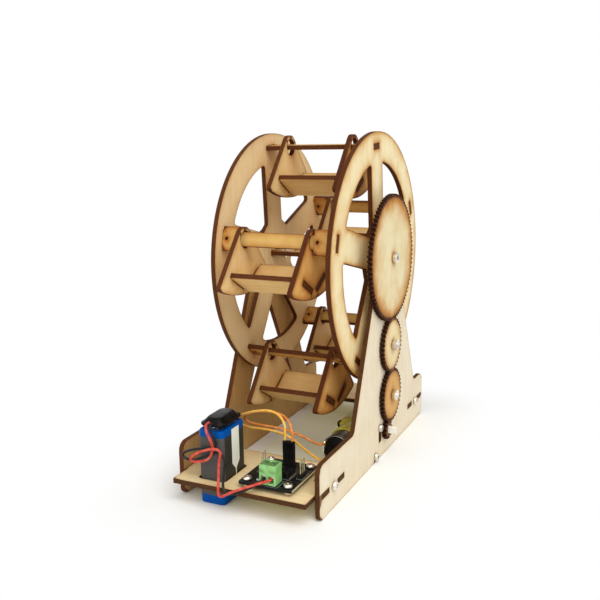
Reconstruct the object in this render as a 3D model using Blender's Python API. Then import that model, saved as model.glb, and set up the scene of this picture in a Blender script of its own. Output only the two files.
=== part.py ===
"""Table top ferris wheel kit of laser cut plywood, turned by a small gear motor.

Two side panels carry a wheel of two rings on axle bolts. Five gondolas hang
from the crossbars. A gear train on the right panel joins the wheel to the
motor. A battery, a circuit board and their leads sit on the front shelf.

Metres. X runs along the axle to the right, Y to the back, Z up. The origin
lies on the underside of the right side panel, straight below the axle.
"""
import math

import bmesh
import bpy
from mathutils import Matrix, Vector

# Sheet wood and fits
ply = 0.003
touch_gap = 0.0003
bore_play = 0.00025
gear_side_gap = 0.0005

# Frame, measured from the plane half way between the panels
inner_half = 0.0443
toe_reach = 0.0037
heel_reach = 0.0030
foot_height = 0.0335
front_leg_foot = -0.0640
rear_leg_foot = 0.0600
apex_radius = 0.0165
toe_corner = 0.0040
foot_corner = 0.0055
heel_corner = 0.0070
leg_fillet = 0.0045
window_half_base = 0.0365
window_sill = 0.0330
window_apex_drop = 0.0340
window_corner = 0.0035

# Shelf and cross board
shelf_behind_blades = 0.00517
shelf_depth = 0.0560
shelf_middle = 0.0142
front_joint_inset = 0.0240
cross_half_depth = 0.0190
cross_middle = 0.0160
rear_joint_behind_leg = 0.0020
tab_length = 0.0100
tab_offset = 0.0114

# Frame screws, M3
frame_shank = 0.0015
frame_head = 0.0030
frame_head_height = 0.0022
frame_screw_length = 0.0120
frame_nut_flats = 0.0055
frame_nut_height = 0.0024
frame_nut_depth = 0.0040

# Wheel
rim_beyond_bar = 0.0095
window_below_bar = 0.0101
ring_panel_gap = 0.0039
arm_width = 0.0210
hub_radius = 0.0240
window_fillet = 0.0020
arm_count = 5
first_arm_angle = math.radians(94.0)
bar_radius = 0.0740
bar_width = 0.0090
bar_tab = 0.0100
shoulder_width = 0.0155
bar_pin_hole = 0.0010
pin_hole_inset = 0.0016
tab_relief = 0.0001
hub_board_width = 0.0160
hub_tab_inner = 0.0042

# Axle bolts, M4, and the bolts of the idler and the lower gear
bolt_shank = 0.0020
bolt_flats = 0.0070
bolt_head_height = 0.0028
bolt_nut_height = 0.0032
right_bolt_length = 0.0300
left_bolt_length = 0.0250
captive_nut_depth = 0.0042
bolt_end_reach = 0.0008

# Gear train
gear_module = 0.001
main_teeth = 84
idler_teeth = 36
lower_teeth = 36
pinion_teeth = 12
pressure_angle = math.radians(20.0)
addendum_share = 0.80
dedendum_share = 1.10
tooth_slack = 0.00013
pinion_lean = math.radians(17.0)

# Gondolas, measured from the middle of the crossbar that each hangs on
hanger_motor_gap = 0.0004
hanger_side_play = 0.0005
hanger_apex = 0.0080
hanger_hole = 0.0055
hanger_half_width = 0.0325
hanger_corner_drop = 0.0268
hanger_bottom_drop = 0.0343
hanger_corner = 0.0020
seat_edge_out = 0.0195
seat_edge_drop = 0.0195
seat_slope = math.radians(31.0)
seat_tab_start = 0.0045
seat_tab_end = 0.0190

# Gear motor behind the right panel
motor_rise = math.radians(3.0)
gearbox_thickness = 0.0186
gearbox_height = 0.0225
gearbox_back = 0.0113
gearbox_front = 0.0257
gearbox_corner = 0.0015
gearbox_ear_near = 0.0132
gearbox_ear_far = 0.0207
ear_below_screw = 0.00465
shaft_radius = 0.0027
shaft_flat = 0.00185
shaft_tip = 0.0564
shaft_socket = 0.0080
shaft_hole = 0.0036
can_radius = 0.0100
can_half_flat = 0.0077
can_length = 0.0302
can_rim = 0.0008
can_rim_depth = 0.0020
cap_reach = 0.0010
blade_width = 0.0022
blade_thickness = 0.0006
blade_length = 0.0035
blade_spread = 0.0057
blade_inset = 0.0060
lower_screw_height = 0.0042
lower_screw_drop = 0.01335
lower_screw_ahead = 0.01818
upper_screw_rise = 0.00405
upper_screw_ahead = 0.00998
motor_screw_shank = 0.0014
motor_screw_head = 0.0027
motor_screw_head_height = 0.0020
motor_screw_depth = 0.0060
boss_window_ahead = 0.00888
boss_window_drop = 0.00285
boss_window_width = 0.0046
boss_window_height = 0.0070

# Battery, a standard nine volt block, and its snap cap
battery_width = 0.0175
battery_depth = 0.0265
battery_case_height = 0.0464
stud_height = 0.0021
battery_inset = 0.0228
battery_setback = 0.0206
battery_corner = 0.0025
battery_base_bevel = 0.0015
battery_clearance = 0.0007
stud_spacing = 0.0127
small_stud = 0.0029
large_stud = 0.0039
snap_width = 0.0160
snap_depth = 0.0255
snap_height = 0.0050
snap_corner = 0.0055
snap_bevel = 0.0013

# Circuit board and what it carries
board_left = -0.0015
board_right = 0.0335
board_setback = 0.0043
board_depth = 0.0380
board_corner = 0.0010
board_thickness = 0.0016
board_lift = 0.0025
board_screw_inset = 0.0041
board_screw_shank = 0.0012
board_screw_head = 0.0027
board_screw_head_height = 0.0019
board_screw_end = 0.0008
spacer_radius = 0.0026
terminal_left = 0.0122
terminal_right = 0.0226
terminal_setback = 0.0010
terminal_depth = 0.0085
terminal_top = 0.0323
terminal_pitch = 0.0050
entry_width = 0.0032
entry_height = 0.0046
entry_floor = 0.0212
entry_depth = 0.0040
chip_x = 0.0190
chip_setback = 0.0177
chip_width = 0.0110
chip_depth = 0.0080
chip_height = 0.0042
pin_pitch = 0.00254
pin_half = 0.00032
header_half = 0.00125
header_height = 0.0025
pin_top = 0.0310
housing_half = 0.00115
housing_top = 0.0378
housing_row_x = 0.0189
housing_setback = 0.0265
left_pins_x = 0.0045
right_pins_x = 0.0305
pins_setback = 0.0205
lead_diameter = 0.0016

# Facets
round_steps = 24
small_round_steps = 12
ring_steps = 96
corner_steps = 4
fine_corner_steps = 6
arc_steps = 12

# Values that follow from those above
panel_outer = inner_half + ply
board_reach = inner_half - touch_gap
gear_inner = panel_outer + gear_side_gap
gear_outer = gear_inner + ply
ring_radius = bar_radius + rim_beyond_bar
ring_inner = bar_radius - window_below_bar
ring_half_width = inner_half - ring_panel_gap
ring_inner_face = ring_half_width - ply
bar_reach = ring_inner_face - touch_gap
slot_half = ply / 2 + touch_gap
shelf_top = shelf_middle + ply / 2
board_base = shelf_top + board_lift
board_top = board_base + board_thickness
bolt_bore = bolt_shank + bore_play
frame_bore = frame_shank + touch_gap
pinion_reach = gear_module * (lower_teeth + pinion_teeth) / 2
pinion_y = -pinion_reach * math.sin(pinion_lean)
pinion_z = lower_screw_height + lower_screw_drop
lower_height = pinion_z + pinion_reach * math.cos(pinion_lean)
idler_height = lower_height + gear_module * (idler_teeth + lower_teeth) / 2
axle_height = idler_height + gear_module * (main_teeth + idler_teeth) / 2
window_apex = axle_height - window_apex_drop
gearbox_outer = inner_half - touch_gap
gearbox_inner = gearbox_outer - gearbox_thickness
gearbox_ear_drop = lower_screw_drop + ear_below_screw
motor_screw_upper = (pinion_y - upper_screw_ahead, pinion_z + upper_screw_rise)
motor_screw_lower = (pinion_y - lower_screw_ahead, lower_screw_height)
boss_window = (pinion_y - boss_window_ahead, pinion_z - boss_window_drop)
hanger_face = gearbox_inner - hanger_motor_gap
battery_x = -(inner_half - battery_inset)
battery_height = battery_case_height + stud_height
motor_reach = gearbox_front + touch_gap + can_length + cap_reach + blade_length
blade_end = pinion_y - motor_reach * math.cos(motor_rise)
shelf_back = blade_end - shelf_behind_blades
shelf_front = shelf_back - shelf_depth
front_joint = shelf_back - front_joint_inset
front_edge = front_joint - tab_offset - tab_length / 2 - toe_reach
rear_joint = rear_leg_foot + rear_joint_behind_leg
rear_edge = rear_joint + tab_offset + tab_length / 2 + heel_reach
cross_front = rear_joint - cross_half_depth
cross_back = rear_joint + cross_half_depth
battery_y = shelf_front + battery_setback
board_front = shelf_front + board_setback
board_back = board_front + board_depth
terminal_front = board_front + terminal_setback
chip_y = board_front + chip_setback
housing_row_y = board_front + housing_setback
pins_y = board_front + pins_setback
centre_plane = -(inner_half + ply / 2)
quarter_turn = math.pi / 2
facing_x = (quarter_turn, 0, quarter_turn)


# %% Outlines: closed lists of points in a plane

def circle(centre, radius, steps):
    """Round outline, its points on the radius."""
    return [(centre[0] + radius * math.cos(2 * math.pi * i / steps),
             centre[1] + radius * math.sin(2 * math.pi * i / steps))
            for i in range(steps)]


def bore(centre, radius, steps):
    """Round hole whose flats, not its corners, lie on the radius."""
    return circle(centre, radius / math.cos(math.pi / steps), steps)


def rectangle(centre, width, height, turn=0):
    """Rectangle turned about its centre."""
    c = math.cos(turn)
    s = math.sin(turn)
    points = []
    for a, b in ((-1, -1), (1, -1), (1, 1), (-1, 1)):
        x = a * width / 2
        y = b * height / 2
        points.append((centre[0] + x * c - y * s, centre[1] + x * s + y * c))
    return points


def hexagon(centre, flats):
    """Hexagon across flats, with flats at top and bottom."""
    return circle(centre, flats / 2 / math.cos(math.pi / 6), 6)


def arc(centre, radius, start, end, steps):
    """Points along an arc, both ends included."""
    return [(centre[0] + radius * math.cos(start + (end - start) * i / steps),
             centre[1] + radius * math.sin(start + (end - start) * i / steps))
            for i in range(steps + 1)]


def rounded(corners, steps):
    """Outline with its corners rounded; each corner is (x, y, radius)."""
    points = []
    count = len(corners)
    for i, (x, y, radius) in enumerate(corners):
        here = Vector((x, y))
        before = Vector(corners[i - 1][:2]) - here
        after = Vector(corners[(i + 1) % count][:2]) - here
        if radius == 0:
            points.append((x, y))
            continue
        half = before.angle(after) / 2
        run = min(radius / math.tan(half), before.length / 2, after.length / 2)
        radius = run * math.tan(half)
        middle = here + (before.normalized() + after.normalized()).normalized() * (radius / math.sin(half))
        first = here + before.normalized() * run - middle
        last = here + after.normalized() * run - middle
        start = math.atan2(first.y, first.x)
        sweep = math.atan2(last.y, last.x) - start
        sweep = (sweep + math.pi) % (2 * math.pi) - math.pi
        points += arc(middle, radius, start, start + sweep, steps)
    return points


def tangent_angle(point, radius, side):
    """Angle at which a line from a point touches a circle about zero."""
    return math.atan2(point[1], point[0]) + side * math.acos(radius / math.hypot(*point))


# %% Solids: sections stacked along local Z

def ring_of(bm, cache, loop, height):
    """Vertices of one outline at one height, made once."""
    key = (id(loop), round(height, 9))
    if key not in cache:
        cache[key] = [bm.verts.new((x, y, height)) for x, y in loop]
    return cache[key]


def fill(bm, rings):
    """Flat faces between nested rings."""
    edges = []
    for ring in rings:
        for i, vert in enumerate(ring):
            edge = bm.edges.get((ring[i - 1], vert))
            edges.append(edge or bm.edges.new((ring[i - 1], vert)))
    if edges:
        bmesh.ops.triangle_fill(bm, use_beauty=True, use_dissolve=False, edges=edges)


def stack(sections):
    """Solid of sections (low, high, outlines, outlines at the top if they differ)."""
    bm = bmesh.new()
    cache = {}
    below = []
    for low, high, loops, *top in sections:
        upper = top[0] if top else loops
        for a, b in zip(loops, upper):
            ring_a = ring_of(bm, cache, a, low)
            ring_b = ring_of(bm, cache, b, high)
            for i in range(len(ring_a)):
                bm.faces.new((ring_a[i - 1], ring_a[i], ring_b[i], ring_b[i - 1]))
        changed = [loop for loop in below if not any(loop is other for other in loops)]
        changed += [loop for loop in loops if not any(loop is other for other in below)]
        fill(bm, [ring_of(bm, cache, loop, low) for loop in changed])
        below = upper
        end = high
    fill(bm, [ring_of(bm, cache, loop, end) for loop in below])
    bmesh.ops.recalc_face_normals(bm, faces=bm.faces)
    return bm


def sheet(outline, holes, low, high):
    """Flat piece between two heights."""
    return stack([(low, high, [outline] + holes)])


def add_object(name, bm, material, parent, location=(0, 0, 0), rotation=(0, 0, 0)):
    """Object of a finished mesh, smooth on its round sides."""
    mesh = bpy.data.meshes.new(name)
    bm.to_mesh(mesh)
    bm.free()
    mesh.materials.append(material)
    mesh.shade_smooth()
    mesh.set_sharp_from_angle(angle=math.radians(35.0))
    obj = bpy.data.objects.new(name, mesh)
    bpy.context.collection.objects.link(obj)
    obj.parent = parent
    obj.location = location
    obj.rotation_euler = rotation
    return obj


def add_empty(name, parent, location):
    """Pivot on a joint's axis."""
    empty = bpy.data.objects.new(name, None)
    empty.empty_display_size = hub_radius
    bpy.context.collection.objects.link(empty)
    empty.parent = parent
    empty.location = location
    return empty


# %% Materials

def surface(name, colour, roughness, metallic):
    """Principled surface."""
    material = bpy.data.materials.new(name)
    material.use_nodes = True
    shader = material.node_tree.nodes["Principled BSDF"]
    shader.inputs["Base Color"].default_value = (*colour, 1)
    shader.inputs["Roughness"].default_value = roughness
    shader.inputs["Metallic"].default_value = metallic
    return material


def birch(name):
    return surface(name + "_birch", (0.72, 0.52, 0.30), 0.6, 0)


def toasted_birch(name):
    return surface(name + "_toasted_birch", (0.66, 0.40, 0.16), 0.6, 0)


def steel(name):
    return surface(name + "_steel", (0.70, 0.70, 0.72), 0.3, 1)


def black_plastic(name):
    return surface(name + "_black_plastic", (0.015, 0.015, 0.018), 0.35, 0)


def yellow_plastic(name):
    return surface(name + "_yellow_plastic", (0.75, 0.62, 0.05), 0.4, 0)


def white_plastic(name):
    return surface(name + "_white_plastic", (0.85, 0.85, 0.83), 0.4, 0)


def green_plastic(name):
    return surface(name + "_green_plastic", (0.22, 0.62, 0.24), 0.4, 0)


def board_black(name):
    return surface(name + "_board_black", (0.02, 0.02, 0.025), 0.35, 0)


def battery_wrap(name):
    return surface(name + "_wrap", (0.09, 0.09, 0.10), 0.35, 0)


def sheath(name, colour):
    return surface(name + "_sheath", colour, 0.4, 0)


# %% Side panels, shelf and cross board

def panel_outline():
    """A shape with flat feet; its top follows a circle about the axle."""
    front = (front_leg_foot, foot_height - axle_height)
    rear = (rear_leg_foot, foot_height - axle_height)
    left = tangent_angle(front, apex_radius, -1)
    right = tangent_angle(rear, apex_radius, 1)
    low = [(front_edge, 0, toe_corner), (rear_edge, 0, heel_corner),
           (rear_edge, foot_height, foot_corner), (rear_leg_foot, foot_height, leg_fillet)]
    top = arc((0, axle_height), apex_radius, right, left + 2 * math.pi * (left < right), arc_steps)
    corners = low + [(y, z, 0) for y, z in top]
    corners += [(front_leg_foot, foot_height, leg_fillet), (front_edge, foot_height, foot_corner)]
    return rounded(corners, corner_steps)


def joint_holes(middle, height):
    """Two tab slots and the screw hole between them."""
    slot_length = tab_length + 2 * touch_gap
    return [rectangle((middle - tab_offset, height), slot_length, 2 * slot_half),
            bore((middle, height), frame_bore, small_round_steps),
            rectangle((middle + tab_offset, height), slot_length, 2 * slot_half)]


def frame_holes():
    return (joint_holes(front_joint, shelf_middle) + joint_holes(rear_joint, cross_middle)
            + [bore((0, axle_height), bolt_bore, round_steps)])


def drive_holes():
    """Holes that only the right panel has."""
    return [bore((0, idler_height), bolt_shank + touch_gap, round_steps),
            bore((0, lower_height), bolt_shank + touch_gap, round_steps),
            bore((pinion_y, pinion_z), shaft_hole, round_steps),
            bore(motor_screw_upper, motor_screw_shank + touch_gap, small_round_steps),
            bore(motor_screw_lower, motor_screw_shank + touch_gap, small_round_steps),
            rectangle(boss_window, boss_window_width, boss_window_height)]


def right_panel(kit):
    bm = sheet(panel_outline(), frame_holes() + drive_holes(), inner_half, panel_outer)
    add_object("side_panel_right", bm, birch("side_panel_right"), kit, rotation=facing_x)


def left_panel(kit):
    window = rounded([(-window_half_base, window_sill, window_corner),
                      (window_half_base, window_sill, window_corner),
                      (0, window_apex, window_corner)], corner_steps)
    bm = sheet(panel_outline(), frame_holes() + [window], -panel_outer, -inner_half)
    add_object("side_panel_left", bm, birch("side_panel_left"), kit, rotation=facing_x)


def slot_path(edge, middle, shank, nut_flats, nut_start, nut_height, tip):
    """T slot cut in from a right hand edge, for a screw and its captive nut."""
    s = shank + touch_gap
    n = nut_flats / 2 + touch_gap
    near = nut_start + touch_gap
    far = nut_start - nut_height - touch_gap
    return [(edge, middle - s), (near, middle - s), (near, middle - n), (far, middle - n),
            (far, middle - s), (tip - touch_gap, middle - s), (tip - touch_gap, middle + s),
            (far, middle + s), (far, middle + n), (near, middle + n), (near, middle + s),
            (edge, middle + s)]


def frame_tip():
    return panel_outer + touch_gap - frame_screw_length


def frame_nut_start():
    return board_reach - frame_nut_depth


def cross_outline(front, back, middle):
    """Board between the panels with two tabs and a T slot at each end."""
    side = [(board_reach, front)]
    for centre in (middle - tab_offset, middle + tab_offset):
        if centre > middle:
            side += slot_path(board_reach, middle, frame_shank, frame_nut_flats,
                              frame_nut_start(), frame_nut_height, frame_tip())
        side += [(board_reach, centre - tab_length / 2), (panel_outer, centre - tab_length / 2),
                 (panel_outer, centre + tab_length / 2), (board_reach, centre + tab_length / 2)]
    side.append((board_reach, back))
    return side + [(-x, y) for x, y in reversed(side)]


def board_screw_places():
    return [(x, y) for x in (board_left + board_screw_inset, board_right - board_screw_inset)
            for y in (board_front + board_screw_inset, board_back - board_screw_inset)]


def front_shelf(kit):
    corner = battery_corner
    half_x = battery_width / 2 + battery_clearance
    half_y = battery_depth / 2 + battery_clearance
    opening = rounded([(battery_x + a * half_x, battery_y + b * half_y, corner)
                       for a, b in ((-1, -1), (1, -1), (1, 1), (-1, 1))], corner_steps)
    holes = [bore(place, board_screw_shank + touch_gap, small_round_steps)
             for place in board_screw_places()]
    bm = sheet(cross_outline(shelf_front, shelf_back, front_joint), [opening] + holes,
               -ply / 2, ply / 2)
    add_object("front_shelf", bm, birch("front_shelf"), kit, (0, 0, shelf_middle))


def rear_board(kit):
    bm = sheet(cross_outline(cross_front, cross_back, rear_joint), [], -ply / 2, ply / 2)
    add_object("rear_cross_board", bm, birch("rear_cross_board"), kit, (0, 0, cross_middle))


def outward(side):
    """Turns local +Z outward along the axle, with flats of a hexagon at top and bottom."""
    return (0, side * quarter_turn, 0)


def frame_screw(name, kit, side, y, z):
    """Pan head screw with its captive nut run on."""
    head = panel_outer + touch_gap
    middle = head + frame_head_height / 2
    top = head + frame_head_height
    start = frame_nut_start()
    shank = circle((0, 0), frame_shank, small_round_steps)
    wide = circle((0, 0), frame_head, round_steps)
    narrow = circle((0, 0), frame_head - frame_head_height / 3, round_steps)
    nut = hexagon((0, 0), frame_nut_flats)
    bm = stack([(frame_tip(), start - frame_nut_height, [shank]),
                (start - frame_nut_height, start, [nut]), (start, head, [shank]),
                (head, middle, [wide]), (middle, top, [wide], [narrow])])
    add_object(name, bm, steel(name), kit, (0, y, z), outward(side))


# %% Wheel

def arm_angles():
    return [first_arm_angle + 2 * math.pi * i / arm_count for i in range(arm_count)]


def sector_window(start):
    """Opening between two arms with parallel sides."""
    outer = math.asin(arm_width / 2 / ring_inner)
    inner = math.asin(arm_width / 2 / hub_radius)
    end = start + 2 * math.pi / arm_count
    rim = arc((0, 0), ring_inner, start + outer, end - outer, arc_steps)
    hub = arc((0, 0), hub_radius, end - inner, start + inner, corner_steps)
    radii = [window_fillet] + [0] * (arc_steps - 1) + [window_fillet]
    hub_radii = [window_fillet] + [0] * (corner_steps - 1) + [window_fillet]
    corners = [(x, y, r) for (x, y), r in zip(rim + hub, radii + hub_radii)]
    return rounded(corners, 2)


def hub_tab_middle():
    return (hub_tab_inner + hub_board_width / 2) / 2


def wheel_ring(name, wheel, low):
    slot_width = bar_tab + 2 * touch_gap
    holes = [sector_window(angle) for angle in arm_angles()]
    for angle in arm_angles():
        centre = (bar_radius * math.cos(angle), bar_radius * math.sin(angle))
        holes.append(rectangle(centre, 2 * slot_half, slot_width, angle))
    hub_slot = hub_board_width / 2 - hub_tab_inner + 2 * touch_gap
    holes += [rectangle((side * hub_tab_middle(), 0), hub_slot, 2 * slot_half) for side in (1, -1)]
    holes.append(bore((0, 0), bolt_shank + touch_gap, round_steps))
    bm = sheet(circle((0, 0), ring_radius, ring_steps), holes, low, low + ply)
    add_object(name, bm, birch(name), wheel, rotation=facing_x)


def crossbar(name, wheel, angle):
    shoulder = hanger_face + hanger_side_play
    side = [(bar_reach, shoulder_width / 2), (bar_reach, bar_tab / 2), (ring_half_width, bar_tab / 2)]
    right = [(x, -y) for x, y in side] + [(x, y) for x, y in reversed(side)]
    waist = [(shoulder, shoulder_width / 2), (shoulder, bar_width / 2),
             (-shoulder, bar_width / 2), (-shoulder, shoulder_width / 2)]
    left = [(-x, y) for x, y in side] + [(-x, -y) for x, y in reversed(side)]
    outline = right + waist + left + [(-x, -y) for x, y in waist]
    pin_hole = pin_hole_inset + bar_pin_hole
    holes = [bore((-bar_reach + pin_hole, 0), bar_pin_hole, small_round_steps),
             bore((shoulder + pin_hole, 0), bar_pin_hole, small_round_steps)]
    bm = sheet(outline, holes, -ply / 2, ply / 2)
    place = (0, bar_radius * math.cos(angle), bar_radius * math.sin(angle))
    add_object(name, bm, birch(name), wheel, place, (angle - quarter_turn, 0, 0))


def axle_head():
    """Underside of the right hand bolt's head, outside the main gear."""
    return gear_outer + touch_gap


def axle_end(side):
    if side > 0:
        return axle_head() - right_bolt_length
    return gear_inner - left_bolt_length


def captive_start():
    return bar_reach - captive_nut_depth


def hub_board(wheel):
    """Board in the plane of the axle that ties the two hubs together."""
    half = hub_board_width / 2
    sides = []
    for side in (1, -1):
        path = [(bar_reach, -half), (ring_half_width, -half), (ring_half_width, -hub_tab_inner),
                (bar_reach, -hub_tab_inner)]
        path += slot_path(bar_reach, 0, bolt_shank, bolt_flats, captive_start(),
                          bolt_nut_height, axle_end(side))
        path += [(bar_reach, hub_tab_inner), (ring_half_width, hub_tab_inner),
                 (ring_half_width, half), (bar_reach, half)]
        sides.append([(side * x, side * y) for x, y in path])
    bm = sheet(sides[0] + sides[1], [], -ply / 2, ply / 2)
    add_object("hub_board", bm, birch("hub_board"), wheel)


def axle_bolt(name, wheel, side, under):
    """Bolt with the captive nut in the hub board and the lock nut beside the ring."""
    shank = circle((0, 0), bolt_shank, round_steps)
    hexes = [hexagon((0, 0), bolt_flats) for _ in range(3)]
    captive = captive_start()
    lock = ring_half_width + touch_gap
    bm = stack([(axle_end(side), captive - bolt_nut_height, [shank]),
                (captive - bolt_nut_height, captive, hexes[:1]), (captive, lock, [shank]),
                (lock, lock + bolt_nut_height, hexes[1:2]), (lock + bolt_nut_height, under, [shank]),
                (under, under + bolt_head_height, hexes[2:])])
    add_object(name, bm, steel(name), wheel, (0, 0, 0), outward(side))


# %% Gear train

def roll(radius, base):
    """Involute function of the pressure angle at a radius."""
    if radius <= base:
        return 0
    angle = math.acos(base / radius)
    return math.tan(angle) - angle


def gear_outline(teeth, phase, steps):
    """Involute gear with a tooth at the phase angle."""
    pitch = gear_module * teeth / 2
    base = pitch * math.cos(pressure_angle)
    root = pitch - dedendum_share * gear_module
    tip = pitch + addendum_share * gear_module
    half_tooth = math.pi / 2 / teeth - tooth_slack / 2 / pitch
    foot = max(root, base)
    radii = [root] if root < base else []
    radii += [foot + (tip - foot) * i / steps for i in range(steps + 1)]
    flank = [(r, half_tooth + roll(pitch, base) - roll(r, base)) for r in radii]
    points = []
    for i in range(teeth):
        middle = phase + 2 * math.pi * i / teeth
        for r, offset in flank:
            points.append((r * math.cos(middle - offset), r * math.sin(middle - offset)))
        for r, offset in reversed(flank):
            points.append((r * math.cos(middle + offset), r * math.sin(middle + offset)))
    return points


def meshing_phase(direction, phase, teeth, next_teeth):
    """Phase of the next gear, which lies in a direction from this one."""
    return direction + math.pi + math.pi / next_teeth - (phase - direction) * teeth / next_teeth


def gear_phases():
    down = -quarter_turn
    main = down
    idler = meshing_phase(down, main, main_teeth, idler_teeth)
    lower = meshing_phase(down, idler, idler_teeth, lower_teeth)
    pinion = meshing_phase(down - pinion_lean, lower, lower_teeth, pinion_teeth)
    return main, idler, lower, pinion


def main_gear(wheel):
    hole = bore((0, 0), bolt_shank + touch_gap, round_steps)
    bm = sheet(gear_outline(main_teeth, gear_phases()[0], 2), [hole], gear_inner, gear_outer)
    add_object("main_gear", bm, toasted_birch("main_gear"), wheel, rotation=facing_x)


def idler_gear(pivot):
    bm = sheet(gear_outline(idler_teeth, gear_phases()[1], 2),
               [bore((0, 0), bolt_bore, round_steps)], gear_inner, gear_outer)
    add_object("idler_gear", bm, birch("idler_gear"), pivot, rotation=facing_x)


def lower_gear(pivot):
    bm = sheet(gear_outline(lower_teeth, gear_phases()[2], 2),
               [bore((0, 0), bolt_bore, round_steps)], gear_inner, gear_outer)
    add_object("lower_gear", bm, toasted_birch("lower_gear"), pivot, rotation=facing_x)


def double_flat(radius, flat):
    """Round shaft outline with two flats."""
    points = circle((0, 0), radius, round_steps)
    return [(max(-flat, min(flat, x)), y) for x, y in points]


def motor_pinion(pivot):
    hole = double_flat((shaft_radius + touch_gap) / math.cos(math.pi / round_steps),
                       shaft_flat + touch_gap)
    bm = sheet(gear_outline(pinion_teeth, gear_phases()[3], 3), [hole], gear_inner, gear_outer)
    add_object("motor_pinion", bm, toasted_birch("motor_pinion"), pivot, rotation=facing_x)


def output_shaft(pivot):
    start = gearbox_outer - shaft_socket + touch_gap
    bm = sheet(double_flat(shaft_radius, shaft_flat), [], start, shaft_tip)
    add_object("motor_output_shaft", bm, white_plastic("motor_output_shaft"), pivot,
               rotation=facing_x)


def gear_bolt(name, kit, height):
    """Bolt with its head inside the panel and its nut outside the gear."""
    shank = circle((0, 0), bolt_shank, round_steps)
    head = hexagon((0, 0), bolt_flats)
    nut = hexagon((0, 0), bolt_flats)
    under = inner_half - touch_gap
    low = gear_outer + touch_gap
    high = low + bolt_nut_height
    bm = stack([(under - bolt_head_height, under, [head]), (under, low, [shank]),
                (low, high, [nut]), (high, high + bolt_end_reach, [shank])])
    add_object(name, bm, steel(name), kit, (0, 0, height), outward(1))


# %% Gondolas

def seat_middle(side):
    """Middle of a seat board's tab beside the bar, side -1 in front."""
    run = (seat_tab_start + seat_tab_end) / 2
    return (side * (seat_edge_out - run * math.cos(seat_slope)),
            -seat_edge_drop - run * math.sin(seat_slope))


def hanger_outline():
    """Rounded top about the bar, straight sides and a curved bottom edge."""
    corner = (hanger_half_width, -hanger_corner_drop)
    right = tangent_angle(corner, hanger_apex, 1)
    top = arc((0, 0), hanger_apex, right, math.pi - right, arc_steps)
    sag = hanger_bottom_drop - hanger_corner_drop
    radius = (hanger_half_width ** 2 + sag ** 2) / (2 * sag)
    spread = math.asin(hanger_half_width / radius)
    bottom = arc((0, radius - hanger_bottom_drop), radius, -quarter_turn - spread,
                 -quarter_turn + spread, arc_steps)
    corners = [(y, z, 0) for y, z in top]
    corners += [(y, z, hanger_corner if i in (0, arc_steps) else 0)
                for i, (y, z) in enumerate(bottom)]
    return rounded(corners, fine_corner_steps)


def hanger(name, pivot, low):
    slot_length = seat_tab_end - seat_tab_start + 2 * touch_gap
    holes = [bore((0, 0), hanger_hole, round_steps)]
    holes += [rectangle(seat_middle(side), slot_length, 2 * slot_half, side * seat_slope)
              for side in (-1, 1)]
    bm = sheet(hanger_outline(), holes, low, low + ply)
    add_object(name, bm, birch(name), pivot, rotation=facing_x)


def seat(name, pivot):
    """Two sloping boards that meet in a V, each with a tab at both ends."""
    reach = hanger_face - ply - touch_gap
    run = Vector((math.cos(seat_slope), -math.sin(seat_slope)))
    lift = Vector((math.sin(seat_slope), math.cos(seat_slope))) * ply / 2
    edge = Vector((-seat_edge_out, -seat_edge_drop))
    corners = []
    for face in (edge - lift, edge + lift):
        foot = face + run * (-face.x / run.x)
        corners.append((face, foot))
    under, over = corners
    outline = [tuple(under[0]), tuple(under[1]), (-under[0].x, under[0].y),
               (-over[0].x, over[0].y), tuple(over[1]), tuple(over[0])]
    tabs = [rectangle(seat_middle(side), seat_tab_end - seat_tab_start, ply - 2 * tab_relief,
                      side * seat_slope) for side in (-1, 1)]
    bm = stack([(-hanger_face, -reach, tabs), (-reach, reach, [outline]),
                (reach, hanger_face, [list(tab) for tab in tabs])])
    add_object(name, bm, birch(name), pivot, rotation=facing_x)


def gondola(number, wheel, angle):
    name = "gondola_%d" % number
    place = (0, bar_radius * math.cos(angle), bar_radius * math.sin(angle))
    pivot = add_empty(name + "_pivot", wheel, place)
    hanger(name + "_hanger_right", pivot, hanger_face - ply)
    hanger(name + "_hanger_left", pivot, -hanger_face)
    seat(name + "_seat", pivot)


# %% Gear motor

def gearbox(kit):
    """Gearbox with a mounting ear, bored for the output shaft."""
    half = gearbox_height / 2
    corner = gearbox_corner
    outline = rounded([(-gearbox_front, -half, corner), (-gearbox_ear_far, -half, 0),
                       (-gearbox_ear_far, -gearbox_ear_drop, corner),
                       (-gearbox_ear_near, -gearbox_ear_drop, corner),
                       (-gearbox_ear_near, -half, 0), (gearbox_back, -half, corner),
                       (gearbox_back, half, corner), (-gearbox_front, half, corner)], corner_steps)
    socket = bore((0, 0), shaft_radius + bore_play, round_steps)
    turn = Matrix.Rotation(motor_rise, 2)
    screws = []
    for y, z in (motor_screw_upper, motor_screw_lower):
        place = turn @ Vector((y - pinion_y, z - pinion_z))
        screws.append(bore(place, motor_screw_shank + touch_gap, small_round_steps))
    bm = stack([(gearbox_inner, gearbox_outer - shaft_socket, [outline]),
                (gearbox_outer - shaft_socket, gearbox_outer - motor_screw_depth, [outline, socket]),
                (gearbox_outer - motor_screw_depth, gearbox_outer, [outline, socket] + screws)])
    base = Matrix.Rotation(-motor_rise, 3, "X") @ Matrix(((0, 0, 1), (1, 0, 0), (0, 1, 0)))
    add_object("motor_gearbox", bm, yellow_plastic("motor_gearbox"), kit,
               (0, pinion_y, pinion_z), base.to_euler())


def flat_round(radius, flat):
    """Outline of the motor can, round with two flat sides."""
    half = math.acos(flat / radius)
    top = arc((0, 0), radius, half, math.pi - half, arc_steps)
    return top + [(-x, -y) for x, y in top]


def motor_axis_object(name, bm, material, kit):
    middle = (gearbox_inner + gearbox_outer) / 2
    add_object(name, bm, material, kit, (middle, pinion_y, pinion_z),
               (quarter_turn - motor_rise, 0, 0))


def can_start():
    return gearbox_front + touch_gap


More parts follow.
